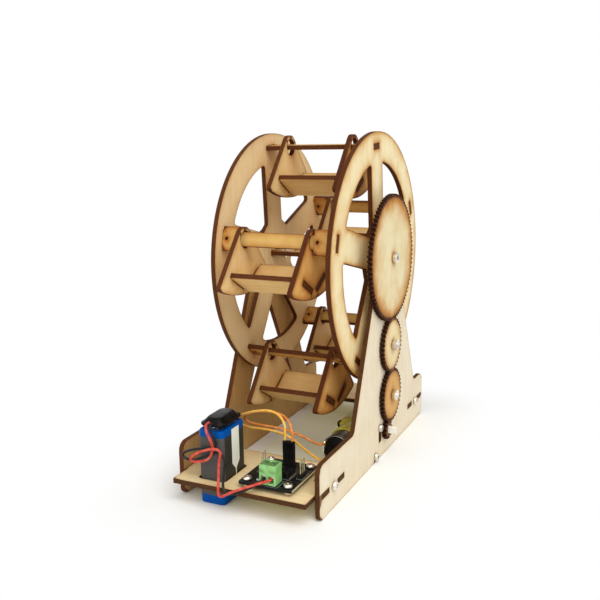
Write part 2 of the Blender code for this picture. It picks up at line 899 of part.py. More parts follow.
def motor_can(kit):
    outer = flat_round(can_radius, can_half_flat)
    pocket = flat_round(can_radius - can_rim, can_half_flat - can_rim)
    end = can_start() + can_length
    bm = stack([(can_start(), end - can_rim_depth, [outer]), (end - can_rim_depth, end, [outer, pocket])])
    motor_axis_object("motor_can", bm, steel("motor_can"), kit)


def motor_end_cap(kit):
    """Cap with the two terminal blades that stand in it."""
    inset = can_rim + touch_gap
    outline = flat_round(can_radius - inset, can_half_flat - inset)
    end = can_start() + can_length
    top = end + cap_reach
    blades = [rectangle((-blade_inset, side * blade_spread), blade_thickness, blade_width)
              for side in (1, -1)]
    bm = stack([(end - can_rim_depth + touch_gap, top, [outline]), (top, top + blade_length, blades)])
    motor_axis_object("motor_end_cap", bm, black_plastic("motor_end_cap"), kit)


def motor_screw(name, kit, place):
    under = panel_outer + touch_gap
    low = gearbox_outer - motor_screw_depth + touch_gap
    shank = circle((0, 0), motor_screw_shank, small_round_steps)
    wide = circle((0, 0), motor_screw_head, round_steps)
    narrow = circle((0, 0), motor_screw_head - motor_screw_head_height / 3, round_steps)
    half = under + motor_screw_head_height / 2
    bm = stack([(low, under, [shank]), (under, half, [wide]),
                (half, under + motor_screw_head_height, [wide], [narrow])])
    add_object(name, bm, steel(name), kit, (0, *place), outward(1))


# %% Battery and snap cap

def soft_rectangle(width, depth, corner):
    return rounded([(a * width / 2, b * depth / 2, corner)
                    for a, b in ((-1, -1), (1, -1), (1, 1), (-1, 1))], corner_steps)


def battery(kit):
    """Case with a bevelled base and the two terminals on its top."""
    bevel = battery_base_bevel
    body = soft_rectangle(battery_width, battery_depth, battery_corner)
    base = soft_rectangle(battery_width - bevel, battery_depth - bevel, battery_corner - bevel / 2)
    studs = [circle((0, side * stud_spacing / 2), radius, round_steps)
             for side, radius in ((-1, small_stud), (1, large_stud))]
    bm = stack([(0, bevel, [base], [body]), (bevel, battery_case_height, [body]),
                (battery_case_height, battery_height, studs)])
    add_object("battery", bm, battery_wrap("battery"), kit, (battery_x, battery_y, 0))


def snap_base():
    return battery_height + touch_gap


def battery_snap(kit):
    bevel = snap_bevel
    body = soft_rectangle(snap_width, snap_depth, snap_corner)
    small = soft_rectangle(snap_width - 2 * bevel, snap_depth - 2 * bevel, snap_corner - bevel)
    bm = stack([(0, bevel, [small], [body]), (bevel, snap_height - bevel, [body]),
                (snap_height - bevel, snap_height, [body], [small])])
    add_object("battery_snap", bm, black_plastic("battery_snap"), kit,
               (battery_x, battery_y, snap_base()))


# %% Circuit board

def pin_strip(x, y):
    """Outline of a strip of three pins and the outlines of its pins."""
    pins = [rectangle((x, y + i * pin_pitch), 2 * pin_half, 2 * pin_half) for i in (-1, 0, 1)]
    return rectangle((x, y), 2 * header_half, 3 * pin_pitch), pins


def circuit_board(kit):
    """Board with its soldered chip and two strips of bare pins."""
    outline = rounded([(board_left, board_front, board_corner), (board_right, board_front, board_corner),
                       (board_right, board_back, board_corner), (board_left, board_back, board_corner)],
                      corner_steps)
    holes = [bore(place, board_screw_shank + touch_gap, small_round_steps)
             for place in board_screw_places()]
    chip = rectangle((chip_x, chip_y), chip_width, chip_depth)
    left_strip, left_pins = pin_strip(left_pins_x, pins_y)
    right_strip, right_pins = pin_strip(right_pins_x, pins_y)
    pins = left_pins + right_pins
    bm = stack([(board_base, board_top, [outline] + holes),
                (board_top, board_top + header_height, [chip, left_strip, right_strip]),
                (board_top + header_height, board_top + chip_height, [chip] + pins),
                (board_top + chip_height, pin_top, pins)])
    add_object("circuit_board", bm, board_black("circuit_board"), kit)


def board_screw(name, kit, place):
    """Screw through board and shelf, with the spacer between them run on."""
    under = board_top + touch_gap
    low = shelf_middle - ply / 2 - board_screw_end
    half = under + board_screw_head_height / 2
    shank = circle((0, 0), board_screw_shank, small_round_steps)
    spacer = circle((0, 0), spacer_radius, round_steps)
    wide = circle((0, 0), board_screw_head, round_steps)
    narrow = circle((0, 0), board_screw_head - board_screw_head_height / 3, round_steps)
    bm = stack([(low, shelf_top + touch_gap, [shank]),
                (shelf_top + touch_gap, board_base - touch_gap, [spacer]),
                (board_base - touch_gap, under, [shank]), (under, half, [wide]),
                (half, under + board_screw_head_height, [wide], [narrow])])
    add_object(name, bm, steel(name), kit, (*place, 0))


def terminal_middle():
    return (terminal_left + terminal_right) / 2


def terminal_block(kit):
    """Block with two wire entries in its front face."""
    base = board_top + touch_gap
    height = (base + terminal_top) / 2
    body = rectangle((terminal_middle(), height), terminal_right - terminal_left, terminal_top - base)
    middle = entry_floor + entry_height / 2
    entries = [rectangle((terminal_middle() + side * terminal_pitch / 2, middle), entry_width, entry_height)
               for side in (-1, 1)]
    bm = stack([(0, terminal_depth - entry_depth, [body]),
                (terminal_depth - entry_depth, terminal_depth, [body] + entries)])
    add_object("terminal_block", bm, green_plastic("terminal_block"), kit,
               (0, terminal_front + terminal_depth, 0), (quarter_turn, 0, 0))


def connector_row(kit):
    """Three housings side by side on the strip that they plug onto."""
    base = board_top + touch_gap
    top = base + header_height
    strip = rectangle((housing_row_x, housing_row_y), 3 * pin_pitch, 2 * header_half)
    housings = [rectangle((housing_row_x + i * pin_pitch, housing_row_y), 2 * housing_half,
                          2 * housing_half) for i in (-1, 0, 1)]
    bm = stack([(base, top, [strip]), (top, housing_top, housings)])
    add_object("connector_row", bm, black_plastic("connector_row"), kit)


# %% Leads

def smooth_route(points, steps):
    """Smooth curve through the points of a route."""
    knots = [Vector(p) for p in points]
    knots = [2 * knots[0] - knots[1]] + knots + [2 * knots[-1] - knots[-2]]
    out = []
    for a, b, c, d in zip(knots, knots[1:], knots[2:], knots[3:]):
        for i in range(steps):
            t = i / steps
            out.append(((2 * b) + (c - a) * t + (2 * a - 5 * b + 4 * c - d) * t ** 2
                        + (3 * b - a - 3 * c + d) * t ** 3) / 2)
    out.append(knots[-2])
    return out


def even_points(line, spacing):
    """Points at even steps along a line, both ends included."""
    total = sum((b - a).length for a, b in zip(line, line[1:]))
    count = max(2, round(total / spacing))
    step = total / count
    out = [line[0]]
    walked = 0
    for a, b in zip(line, line[1:]):
        length = (b - a).length
        while length > 0 and walked + length >= step * len(out) and len(out) < count:
            out.append(a.lerp(b, (step * len(out) - walked) / length))
        walked += length
    return out + [line[-1]]


def add_lead(name, points, colour, kit):
    """Round lead along a route, with capped ends."""
    route = even_points(smooth_route(points, 2 * arc_steps), 2 * lead_diameter)
    curve = bpy.data.curves.new(name, "CURVE")
    curve.dimensions = "3D"
    curve.bevel_depth = lead_diameter / 2
    curve.bevel_resolution = 2
    curve.use_fill_caps = True
    spline = curve.splines.new("POLY")
    spline.points.add(len(route) - 1)
    for point, place in zip(spline.points, route):
        point.co = (*place, 1)
    spline.use_smooth = True
    curve.materials.append(sheath(name, colour))
    obj = bpy.data.objects.new(name, curve)
    bpy.context.collection.objects.link(obj)
    obj.parent = kit
    length = sum((b - a).length for a, b in zip(route, route[1:]))
    print(name, "length", round(length, 4))


# Places of the snap cap, the terminal block, the housings and the blades that the routes fit
laid_snap = (-0.0215, -0.1082, 0.0488)
laid_terminal = (0.0174, -0.1235, 0.0212)
laid_housing = (0.0189, -0.0980, 0.0378)
laid_blades = (0.0287, -0.06763, 0.02073)
red_route = (
    (-0.0218, -0.12130, 0.0516), (-0.0217, -0.1249, 0.0511), (-0.0205, -0.1265, 0.0480),
    (-0.0184, -0.1262, 0.0430), (-0.0169, -0.1262, 0.0385), (-0.0177, -0.1268, 0.0340),
    (-0.0208, -0.1268, 0.0306), (-0.0265, -0.1268, 0.0285), (-0.0306, -0.1275, 0.0284),
    (-0.0311, -0.1281, 0.0304), (-0.0280, -0.1286, 0.0334), (-0.0222, -0.1288, 0.0365),
    (-0.0160, -0.1286, 0.0387), (-0.0120, -0.1281, 0.0386), (-0.0108, -0.1276, 0.0360),
    (-0.0117, -0.1276, 0.0322), (-0.0118, -0.1284, 0.0270), (-0.0112, -0.1302, 0.0200),
    (-0.0109, -0.1313, 0.0155), (-0.0098, -0.1322, 0.0124), (-0.0066, -0.1327, 0.0131),
    (-0.0012, -0.1325, 0.0163), (0.0050, -0.1311, 0.0190), (0.0110, -0.1290, 0.0213),
    (0.0162, -0.1264, 0.0230), (0.0193, -0.1238, 0.0236), (0.0199, -0.1202, 0.0236),
)
black_route = (
    (-0.0196, -0.12130, 0.0514), (-0.0195, -0.1247, 0.0502), (-0.0186, -0.1244, 0.0470),
    (-0.0166, -0.1236, 0.0415), (-0.0174, -0.1229, 0.0376), (-0.0215, -0.1232, 0.0366),
    (-0.0280, -0.1235, 0.0352), (-0.0343, -0.1237, 0.0333), (-0.0388, -0.1237, 0.0310),
    (-0.0396, -0.1237, 0.0288), (-0.0370, -0.1237, 0.0274), (-0.0320, -0.1238, 0.0276),
    (-0.0262, -0.1240, 0.0300), (-0.0208, -0.1243, 0.0328), (-0.0160, -0.1246, 0.0347),
    (-0.0115, -0.1251, 0.0345), (-0.0092, -0.1257, 0.0310), (-0.0093, -0.1266, 0.0265),
    (-0.0090, -0.1286, 0.0205), (-0.0078, -0.1303, 0.0163), (-0.0046, -0.1306, 0.0141),
    (0.0004, -0.1302, 0.0149), (0.0050, -0.1291, 0.0170), (0.0098, -0.1275, 0.0196),
    (0.0132, -0.1256, 0.0218), (0.0147, -0.1236, 0.0233), (0.0149, -0.1202, 0.0240),
)
yellow_route = (
    (0.01640, -0.0980, 0.0381), (0.0165, -0.0979, 0.0430), (0.0158, -0.0974, 0.0478),
    (0.0120, -0.0966, 0.0525), (0.0050, -0.0955, 0.0540), (-0.0040, -0.0940, 0.0522),
    (-0.0125, -0.0920, 0.0490), (-0.0190, -0.0896, 0.0455), (-0.0220, -0.0872, 0.0415),
    (-0.0205, -0.0852, 0.0380), (-0.0140, -0.0843, 0.0366), (-0.0060, -0.0838, 0.0367),
    (0.0010, -0.0828, 0.0360), (0.0080, -0.0812, 0.0340), (0.0130, -0.0796, 0.0308),
    (0.0170, -0.0776, 0.0265), (0.0216, -0.0756, 0.0222), (0.0260, -0.0738, 0.0187),
    (0.0284, -0.0717, 0.0166), (0.0287, -0.0684, 0.0152),
)
orange_route = (
    (0.02140, -0.0980, 0.0381), (0.0211, -0.0976, 0.0430), (0.0186, -0.0958, 0.0480),
    (0.0138, -0.0938, 0.0512), (0.0060, -0.0922, 0.0522), (-0.0040, -0.0905, 0.0508),
    (-0.0120, -0.0885, 0.0478), (-0.0175, -0.0860, 0.0440), (-0.0185, -0.0835, 0.0405),
    (-0.0145, -0.0818, 0.0384), (-0.0070, -0.0810, 0.0378), (0.0005, -0.0803, 0.0374),
    (0.0075, -0.0795, 0.0365), (0.0135, -0.0782, 0.0347), (0.0190, -0.0758, 0.0320),
    (0.0235, -0.0742, 0.0292), (0.0272, -0.0716, 0.0271), (0.0287, -0.0677, 0.0265),
)


def blade_tips():
    """Middle of the line between the ends of the two motor blades."""
    middle = (gearbox_inner + gearbox_outer) / 2
    return (middle - blade_inset, blade_end, pinion_z + motor_reach * math.sin(motor_rise))


def carried(points, start, laid_start, end, laid_end):
    """Route whose ends keep to the two pieces that it joins."""
    near = Vector(start) - Vector(laid_start)
    far = Vector(end) - Vector(laid_end)
    last = len(points) - 1
    return [Vector(p) + near * (1 - i / last) + far * (i / last) for i, p in enumerate(points)]


def power_lead(name, points, colour, kit):
    """Lead from the snap cap to the terminal block."""
    snap = (battery_x, battery_y, snap_base())
    terminal = (terminal_middle(), terminal_front, entry_floor)
    route = carried(points, snap, laid_snap, terminal, laid_terminal)
    add_lead(name, route, colour, kit)


def motor_lead(name, points, colour, kit):
    """Lead from the connector housings to a blade of the motor."""
    housing = (housing_row_x, housing_row_y, housing_top)
    route = carried(points, housing, laid_housing, blade_tips(), laid_blades)
    add_lead(name, route, colour, kit)


def leads(kit):
    power_lead("red_lead", red_route, (0.75, 0.10, 0.06), kit)
    power_lead("black_lead", black_route, (0.02, 0.02, 0.02), kit)
    motor_lead("yellow_lead", yellow_route, (0.85, 0.55, 0.10), kit)
    motor_lead("orange_lead", orange_route, (0.80, 0.25, 0.04), kit)


# %% The whole kit

def build():
    for obj in list(bpy.data.objects):
        bpy.data.objects.remove(obj, do_unlink=True)
    kit = add_empty("kit", None, (centre_plane, 0, 0))
    right_panel(kit)
    left_panel(kit)
    front_shelf(kit)
    rear_board(kit)
    for word, side in (("right", 1), ("left", -1)):
        frame_screw("front_screw_" + word, kit, side, front_joint, shelf_middle)
        frame_screw("rear_screw_" + word, kit, side, rear_joint, cross_middle)

    wheel = add_empty("wheel_pivot", kit, (0, 0, axle_height))
    wheel_ring("wheel_ring_right", wheel, ring_inner_face)
    wheel_ring("wheel_ring_left", wheel, -ring_half_width)
    hub_board(wheel)
    axle_bolt("axle_bolt_right", wheel, 1, axle_head())
    axle_bolt("axle_bolt_left", wheel, -1, gear_inner)
    main_gear(wheel)
    for number, angle in enumerate(arm_angles(), 1):
        crossbar("crossbar_%d" % number, wheel, angle)
        gondola(number, wheel, angle)

    idler_gear(add_empty("idler_pivot", kit, (0, 0, idler_height)))
    lower_gear(add_empty("lower_pivot", kit, (0, 0, lower_height)))
    gear_bolt("idler_bolt", kit, idler_height)
    gear_bolt("lower_gear_bolt", kit, lower_height)
    drive = add_empty("pinion_pivot", kit, (0, pinion_y, pinion_z))
    motor_pinion(drive)
    output_shaft(drive)
    gearbox(kit)
    motor_can(kit)
    motor_end_cap(kit)
    motor_screw("motor_screw_upper", kit, motor_screw_upper)
    motor_screw("motor_screw_lower", kit, motor_screw_lower)

    battery(kit)
    battery_snap(kit)
    circuit_board(kit)
    for number, place in enumerate(board_screw_places(), 1):
        board_screw("board_screw_%d" % number, kit, place)
    terminal_block(kit)
    connector_row(kit)
    leads(kit)


build()
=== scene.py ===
# %% [markdown]
# # Ferris wheel model kit
# This lesson dresses a small motor driven ferris wheel, laser cut from 3 mm birch plywood,
# so that it looks like a photograph of it. The exact shapes come from a CAD model that is
# already packed. It is loaded here as a fixed frame: every piece that this file makes sits
# where the CAD says, and rides on one of its bodies, so that the wheel can still turn.

# %% Load the frame
import math
import bpy
import bmesh
import numpy as np
from mathutils import Matrix, Vector


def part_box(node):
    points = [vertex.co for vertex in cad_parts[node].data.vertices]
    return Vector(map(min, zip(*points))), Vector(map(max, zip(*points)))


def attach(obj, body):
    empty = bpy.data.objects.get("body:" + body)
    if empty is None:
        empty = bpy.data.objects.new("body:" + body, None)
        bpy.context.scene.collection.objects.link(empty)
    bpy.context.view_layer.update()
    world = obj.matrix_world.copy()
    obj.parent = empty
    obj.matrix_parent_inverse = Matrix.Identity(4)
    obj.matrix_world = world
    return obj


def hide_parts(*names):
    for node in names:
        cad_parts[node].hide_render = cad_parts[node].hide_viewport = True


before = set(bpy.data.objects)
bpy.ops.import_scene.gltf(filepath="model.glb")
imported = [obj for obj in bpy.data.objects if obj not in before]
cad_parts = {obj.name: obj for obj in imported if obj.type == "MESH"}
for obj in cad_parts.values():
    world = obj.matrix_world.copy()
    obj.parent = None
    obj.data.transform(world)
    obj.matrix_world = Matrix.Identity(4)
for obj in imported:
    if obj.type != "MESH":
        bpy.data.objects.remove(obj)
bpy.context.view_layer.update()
MM = 0.001

# %% [markdown]
# ## The camera
# A photograph fixes eight numbers: where the camera stood, how it was turned and tilted,
# and how long its lens was. They were found beforehand by fitting the corners, rims and
# gears of the CAD model to the pixels of the photograph. The middle of the picture isn't
# quite the middle of the lens, which is what the two small shifts are for.

# %% Set the camera
PICTURE = 600
SENSOR = 36
kit_middle = Vector((-45.8, 0, 0)) * MM
focal_pixels = 765.85
lens_middle = (307.67, 286.60)
turn, tilt, lean = (math.radians(a) for a in (25.14, 10.60, -0.81))
eye = Vector((214.506, -485.142, 212.836)) * MM + kit_middle


def placed(name, data):
    """A new object in the scene, with the lens, light, curve or mesh that it shows."""
    made = bpy.data.objects.new(name, data)
    bpy.context.scene.collection.objects.link(made)
    return made


backwards = Vector((math.sin(turn) * math.cos(tilt), -math.cos(turn) * math.cos(tilt), math.sin(tilt)))
level = (-backwards).cross(Vector((0, 0, 1))).normalized()
upright = level.cross(-backwards)
across = level * math.cos(lean) + upright * math.sin(lean)
upwards = upright * math.cos(lean) - level * math.sin(lean)

lens = bpy.data.cameras.new("camera")
camera = placed("camera", lens)
camera.matrix_world = Matrix.Translation(eye) @ Matrix((across, upwards, backwards)).transposed().to_4x4()
lens.sensor_width = SENSOR
lens.lens = focal_pixels / PICTURE * SENSOR
lens.shift_x = (PICTURE / 2 - lens_middle[0]) / PICTURE
lens.shift_y = (lens_middle[1] - PICTURE / 2) / PICTURE
lens.clip_start = 0.01
bpy.context.scene.camera = camera
print("lens", round(lens.lens, 2), "mm, shift", round(lens.shift_x, 4), round(lens.shift_y, 4))

# %% [markdown]
# ## Small helpers for shader nodes
# A material here is a graph of nodes. Writing each node out takes several lines, so a small
# class adds one node, wires what goes in, and gives back the socket that comes out. It
# works on a material and on a node group alike. A second class builds on it, with the few
# sums and patterns that the finishes of this kit are made of.

# %% Add and wire one node
def tone(red, green, blue):
    """Colour of a material, from the three numbers that a picture program shows."""
    shares = (c / 255 for c in (red, green, blue))
    return (*(s / 12.92 if s <= 0.04045 else ((s + 0.055) / 1.055) ** 2.4 for s in shares), 1)


class Nodes:
    """The nodes of a material, a node group or a sky."""

    def __init__(self, tree):
        self.tree, self.nodes = tree, tree.nodes
        self.shader = tree.nodes.get("Principled BSDF")

    def feed(self, socket, value):
        """Wires a socket into another one, or sets a plain value on it."""
        if isinstance(value, bpy.types.NodeSocket):
            self.tree.links.new(value, socket)
        else:
            socket.default_value = value

    def feed_all(self, sockets, *values):
        """Feeds several sockets in their order."""
        for socket, value in zip(sockets, values):
            self.feed(socket, value)

    def add(self, kind, settings=(), **inputs):
        """A node of that kind, with its settings and its inputs."""
        made = self.nodes.new("ShaderNode" + kind)
        for name, value in dict(settings).items():
            setattr(made, name, value)
        for name, value in inputs.items():
            self.feed(made.inputs[name.replace("_", " ")], value)
        return made


print("the colour 128, 128, 128 is", [round(c, 3) for c in tone(128, 128, 128)])


# %% Sums and patterns
class Graph(Nodes):
    """Nodes that each do one thing to values, colours or the surface."""

    def math(self, operation, *values, clamp=False):
        """The outcome of one Math node."""
        made = self.add("Math", {"operation": operation, "use_clamp": clamp})
        self.feed_all(made.inputs, *values)
        return made.outputs[0]

    def plus(self, a, b):
        return self.math("ADD", a, b)

    def less(self, a, b):
        return self.math("SUBTRACT", a, b)

    def times(self, a, b):
        return self.math("MULTIPLY", a, b)

    def larger(self, a, b):
        return self.math("MAXIMUM", a, b)

    def apart(self, a, b):
        """How far two values are apart, without a sign."""
        return self.math("ABSOLUTE", self.less(a, b))

    def ease(self, value, low, high, start=0.0, end=1.0):
        """A soft step: start below low, end above high."""
        return self.add("MapRange", {"interpolation_type": "SMOOTHSTEP"}, Value=value, From_Min=low,
                        From_Max=high, To_Min=start, To_Max=end).outputs[0]

    def mixed(self, share, first, second):
        """Two colours mixed; share 1 is all of the second."""
        made = self.add("Mix", {"data_type": "RGBA"})
        self.feed_all([made.inputs[i] for i in (0, 6, 7)], share, first, second)
        return made.outputs[2]

    def grainy(self, place, scale, detail=3.0, stretch=(1, 1, 1), shift=(0, 0, 0)):
        """Noise from 0 to 1, as many to the unit as scale says, drawn out along an axis by a small stretch."""
        moved = self.add("Mapping", Vector=place, Scale=stretch, Location=shift).outputs[0]
        return self.add("TexNoise", Vector=moved, Scale=scale, Detail=detail, Roughness=0.55).outputs[0]

    def parts(self, vector):
        """The X, Y and Z of a vector."""
        return self.add("SeparateXYZ", Vector=vector).outputs

    def outside(self, at, middle, half):
        """How far X and Y are outside a rectangle, given by its middle and half its sides."""
        return [self.less(self.apart(at[axis], m), h) for axis, m, h in zip("XY", middle, half)]

    def length(self, a, b):
        """How far something is, from how far it is along two axes."""
        return self.math("SQRT", self.plus(self.times(a, a), self.times(b, b)))

    def look(self, colour, roughness, height, depth, strength=0.5):
        """Wires up the surface shader, and makes the surface look uneven by a depth in millimetres."""
        bump = self.add("Bump", Strength=strength, Distance=depth * MM, Height=height).outputs[0]
        sockets = [self.shader.inputs[name] for name in ("Base Color", "Roughness", "Normal")]
        self.feed_all(sockets, colour, roughness, bump)


print("a graph can add:", [name for name in vars(Graph) if not name.startswith("_")])


# %% Materials and node groups
def material(name, roughness=0.5, metallic=0.0, coat=0.0, specular=0.5):
    """A new material, its graph, and the place on the piece in millimetres."""
    made = bpy.data.materials.new(name)
    made.use_nodes = True
    g = Graph(made.node_tree)
    for label, value in (("Roughness", roughness), ("Metallic", metallic), ("Coat Weight", coat),
                         ("Coat Roughness", 0.12), ("Specular IOR Level", specular)):
        g.feed(g.shader.inputs[label], value)
    spot = g.add("TexCoord").outputs["Object"]
    return made, g, g.add("Mapping", Vector=spot, Scale=(1 / MM,) * 3).outputs[0]


def group(name, **inputs):
    """A node group with those inputs: its graph, what it is given, and the three sockets to feed."""
    tree = bpy.data.node_groups.new(name, "ShaderNodeTree")
    for label, value in inputs.items():
        kind = "Float" if isinstance(value, float) else {3: "Vector", 4: "Color"}[len(value)]
        tree.interface.new_socket(name=label, in_out="INPUT", socket_type="NodeSocket" + kind).default_value = value
    for label, kind in (("Color", "Color"), ("Roughness", "Float"), ("Height", "Float")):
        tree.interface.new_socket(name=label, in_out="OUTPUT", socket_type="NodeSocket" + kind)
    return Graph(tree), tree.nodes.new("NodeGroupInput").outputs, tree.nodes.new("NodeGroupOutput").inputs


def use(g, inner, **inputs):
    """A node group placed in a material, with its values: colour, roughness and height."""
    made = g.nodes.new("ShaderNodeGroup")
    made.node_tree = inner
    for name, value in inputs.items():
        g.feed(made.inputs[name], value)
    return made.outputs


print("materials are made in millimetres,", round(1 / MM), "to the metre")

# %% [markdown] ## The four leads Thin stranded wire in a soft sheath, 1.6 mm across, joins
# the battery to the board and the board to the motor. Such a lead could be simulated, but
# the photograph shows every one from end to end, so each follows a route of points that was
# read from it. A smooth curve through the points is cut into even steps, and Blender
# thickens that line into a round sheath.

# %% Routes of the leads, in millimetres
LEAD = 1.6
SPACING = 0.7
red_route = (
    (-21.8, -121.3, 51.6), (-21.7, -124.9, 51.1), (-20.5, -126.5, 48), (-18.4, -126.2, 43),
    (-16.9, -126.2, 38.5), (-17.7, -126.8, 34), (-20.8, -126.8, 30.6), (-26.5, -126.8, 28.5),
    (-30.6, -127.5, 28.4), (-31.1, -128.1, 30.4), (-28, -128.6, 33.4), (-22.2, -128.8, 36.5),
    (-16, -128.6, 38.7), (-12, -128.1, 38.6), (-10.8, -127.6, 36), (-11.7, -127.6, 32.2), (-11.8, -128.4, 27),
    (-11.2, -130.2, 20), (-10.9, -131.3, 15.5), (-9.8, -132.2, 12.4), (-6.6, -132.7, 13.1),
    (-1.2, -132.5, 16.3), (5, -131.1, 19), (11, -129, 21.3), (16.2, -126.4, 23), (19.3, -123.8, 23.6),
    (19.9, -120.2, 23.6),
)
black_route = (
    (-19.6, -121.3, 51.4), (-19.5, -124.7, 50.2), (-18.6, -124.4, 47), (-16.6, -123.6, 41.5),
    (-17.4, -122.9, 37.6), (-21.5, -123.2, 36.6), (-28, -123.5, 35.2), (-34.3, -123.7, 33.3),
    (-38.8, -123.7, 31), (-39.6, -123.7, 28.8), (-37, -123.7, 27.4), (-32, -123.8, 27.6), (-26.2, -124, 30),
    (-20.8, -124.3, 32.8), (-16, -124.6, 34.7), (-11.5, -125.1, 34.5), (-9.2, -125.7, 31), (-9.3, -126.6, 26.5),
    (-9, -128.6, 20.5), (-7.8, -130.3, 16.3), (-4.6, -130.6, 14.1), (0.4, -130.2, 14.9), (5, -129.1, 17),
    (9.8, -127.5, 19.6), (13.2, -125.6, 21.8), (14.7, -123.6, 23.3), (14.9, -120.2, 24),
)
yellow_route = (
    (16.4, -98, 38.1), (16.5, -97.9, 43), (15.8, -97.4, 47.8), (12, -96.6, 52.5), (5, -95.5, 54),
    (-4, -94, 52.2), (-12.5, -92, 49), (-19, -89.6, 45.5), (-22, -87.2, 41.5), (-20.5, -85.2, 38),
    (-14, -84.3, 36.6), (-6, -83.8, 36.7), (1, -82.8, 36), (8, -81.2, 34), (13, -79.6, 30.8), (17, -77.6, 26.5),
    (21.6, -75.6, 22.2), (26, -73.8, 18.7), (28.4, -71.7, 16.6), (28.7, -68.4, 15.2),
)
orange_route = (
    (21.4, -98, 38.1), (21.1, -97.6, 43), (18.6, -95.8, 48), (13.8, -93.8, 51.2), (6, -92.2, 52.2),
    (-4, -90.5, 50.8), (-12, -88.5, 47.8), (-17.5, -86, 44), (-18.5, -83.5, 40.5), (-14.5, -81.8, 38.4),
    (-7, -81, 37.8), (0.5, -80.3, 37.4), (7.5, -79.5, 36.5), (13.5, -78.2, 34.7), (19, -75.8, 32),
    (23.5, -74.2, 29.2), (27.2, -71.6, 27.1), (28.7, -67.7, 26.5),
)
print("points:", len(red_route), len(black_route), len(yellow_route), len(orange_route))


# %% A smooth line of even steps
def smooth_route(points, steps=24):
    """Smooth curve through the points of a route."""
    knots = [Vector(p) for p in points]
    knots = [2 * knots[0] - knots[1]] + knots + [2 * knots[-1] - knots[-2]]
    out = []
    for a, b, c, d in zip(knots, knots[1:], knots[2:], knots[3:]):
        for i in range(steps):
            t = i / steps
            out.append(((2 * b) + (c - a) * t + (2 * a - 5 * b + 4 * c - d) * t ** 2
                        + (3 * b - a - 3 * c + d) * t ** 3) / 2)
    return out + [knots[-2]]


def length_of(line):
    return sum((b - a).length for a, b in zip(line, line[1:]))


def even_points(line, spacing):
    """Points at even steps along a line, both ends included."""
    total = length_of(line)
    count = max(2, round(total / spacing))
    step, out, walked = total / count, [line[0]], 0
    for a, b in zip(line, line[1:]):
        length = (b - a).length
        while length > 0 and walked + length >= step * len(out) and len(out) < count:
            out.append(a.lerp(b, (step * len(out) - walked) / length))
        walked += length
    return out + [line[-1]]


print("the red route is cut into", len(even_points(smooth_route(red_route), SPACING)), "points")

# %% [markdown]
# The sheath is soft plastic. It is a little glossy, slightly uneven along its length, and
# rubbed paler in places. The colour is what differs, so one function makes all four.

# %% Sheath and leads
def sheath_finish(name, colour, pale):
    made, g, place = material(name, roughness=0.38, coat=0.06, specular=0.25)
    rubbed = g.ease(g.grainy(place, 0.35, detail=4), 0.42, 0.66)
    g.look(g.mixed(rubbed, tone(*colour), tone(*pale)), g.ease(g.grainy(place, 1.4), 0.3, 0.7, 0.3, 0.46),
           g.grainy(place, 2.2, detail=2), 0.04)
    return made


def lead(hue, source, route, colour, pale):
    """A lead as one open curve with a round sheath; the length that it measures is printed."""
    name = f"{hue}_{source}_lead"
    line = [p * MM + kit_middle for p in even_points(smooth_route(route), SPACING)]
    curve = bpy.data.curves.new(name, "CURVE")
    curve.dimensions = "3D"
    spline = curve.splines.new("POLY")
    spline.points.add(len(line) - 1)
    for point, spot in zip(spline.points, line):
        point.co = (*spot, 1)
    curve.bevel_depth = LEAD / 2 * MM
    curve.bevel_resolution = 3
    curve.use_fill_caps = True
    curve.materials.append(sheath_finish(f"{hue}_sheath", colour, pale))
    piece = placed(name, curve)
    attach(piece, "root")
    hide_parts(f"{hue}_lead")
    print(name, round(length_of(line) / MM, 1), "mm")


lead("red", "battery", red_route, (196, 58, 46), (216, 98, 80))
lead("black", "battery", black_route, (18, 17, 17), (34, 32, 30))
lead("yellow", "motor", yellow_route, (230, 170, 62), (240, 192, 98))
lead("orange", "motor", orange_route, (206, 120, 52), (226, 150, 82))

# %% [markdown] ## Floor and studio light The photograph was taken on a white table that
# melts into a white background, under large soft lamps, the strongest at the right and in
# front. The lamps here are at a plain level, at which a colour renders about as it is
# written.

# %% Floor
FLOOR_RADIUS = 4.0
FOOTPRINT = (-45.8, -17), (48, 112)
FADE = 60
WHITE = (1, 1, 1, 1)


def seen_directly(g):
    rays = g.add("LightPath").outputs
    return g.larger(rays["Is Camera Ray"], g.larger(rays["Is Glossy Ray"], rays["Is Transmission Ray"]))


def pale_floor():
    made, g, place = material("pale_floor", roughness=0.9, specular=0.1)
    past = g.outside(g.parts(place), *FOOTPRINT)
    far = g.ease(g.length(*(g.larger(0, p) for p in past)), 0, FADE)
    # Under the kit the floor's colour turns darker and yellow: painted shade and painted bounce light from the wood.
    painted_bounce_and_shade_under_kit = g.ease(g.larger(*past), -20, -5, 1, 0)
    g.feed(g.shader.inputs["Base Color"], g.mixed(painted_bounce_and_shade_under_kit, (0.94, 0.95, 0.945, 1), (0.90, 0.92, 0.72, 1)))
    glow = g.add("Emission", Color=WHITE, Strength=1.0)
    blend = g.add("MixShader")
    g.feed_all(blend.inputs, g.times(far, seen_directly(g)), g.shader.outputs[0], glow.outputs[0])
    g.feed(g.nodes["Material Output"].inputs["Surface"], blend.outputs[0])
    return made


def mesh_from(shape, name):
    """A mesh with the form of a finished shape, which is given back."""
    mesh = bpy.data.meshes.new(name)
    shape.to_mesh(mesh)
    shape.free()
    return mesh


disc = bmesh.new()
bmesh.ops.create_circle(disc, cap_ends=True, segments=64, radius=FLOOR_RADIUS)
floor = placed("floor", mesh_from(disc, "floor"))
floor.data.materials.append(pale_floor())
print("floor radius", FLOOR_RADIUS, "m")

# %% Sky and lamps
SKY = 0.56
LIT_SPOT = Vector((-0.045, -0.02, 0.10))


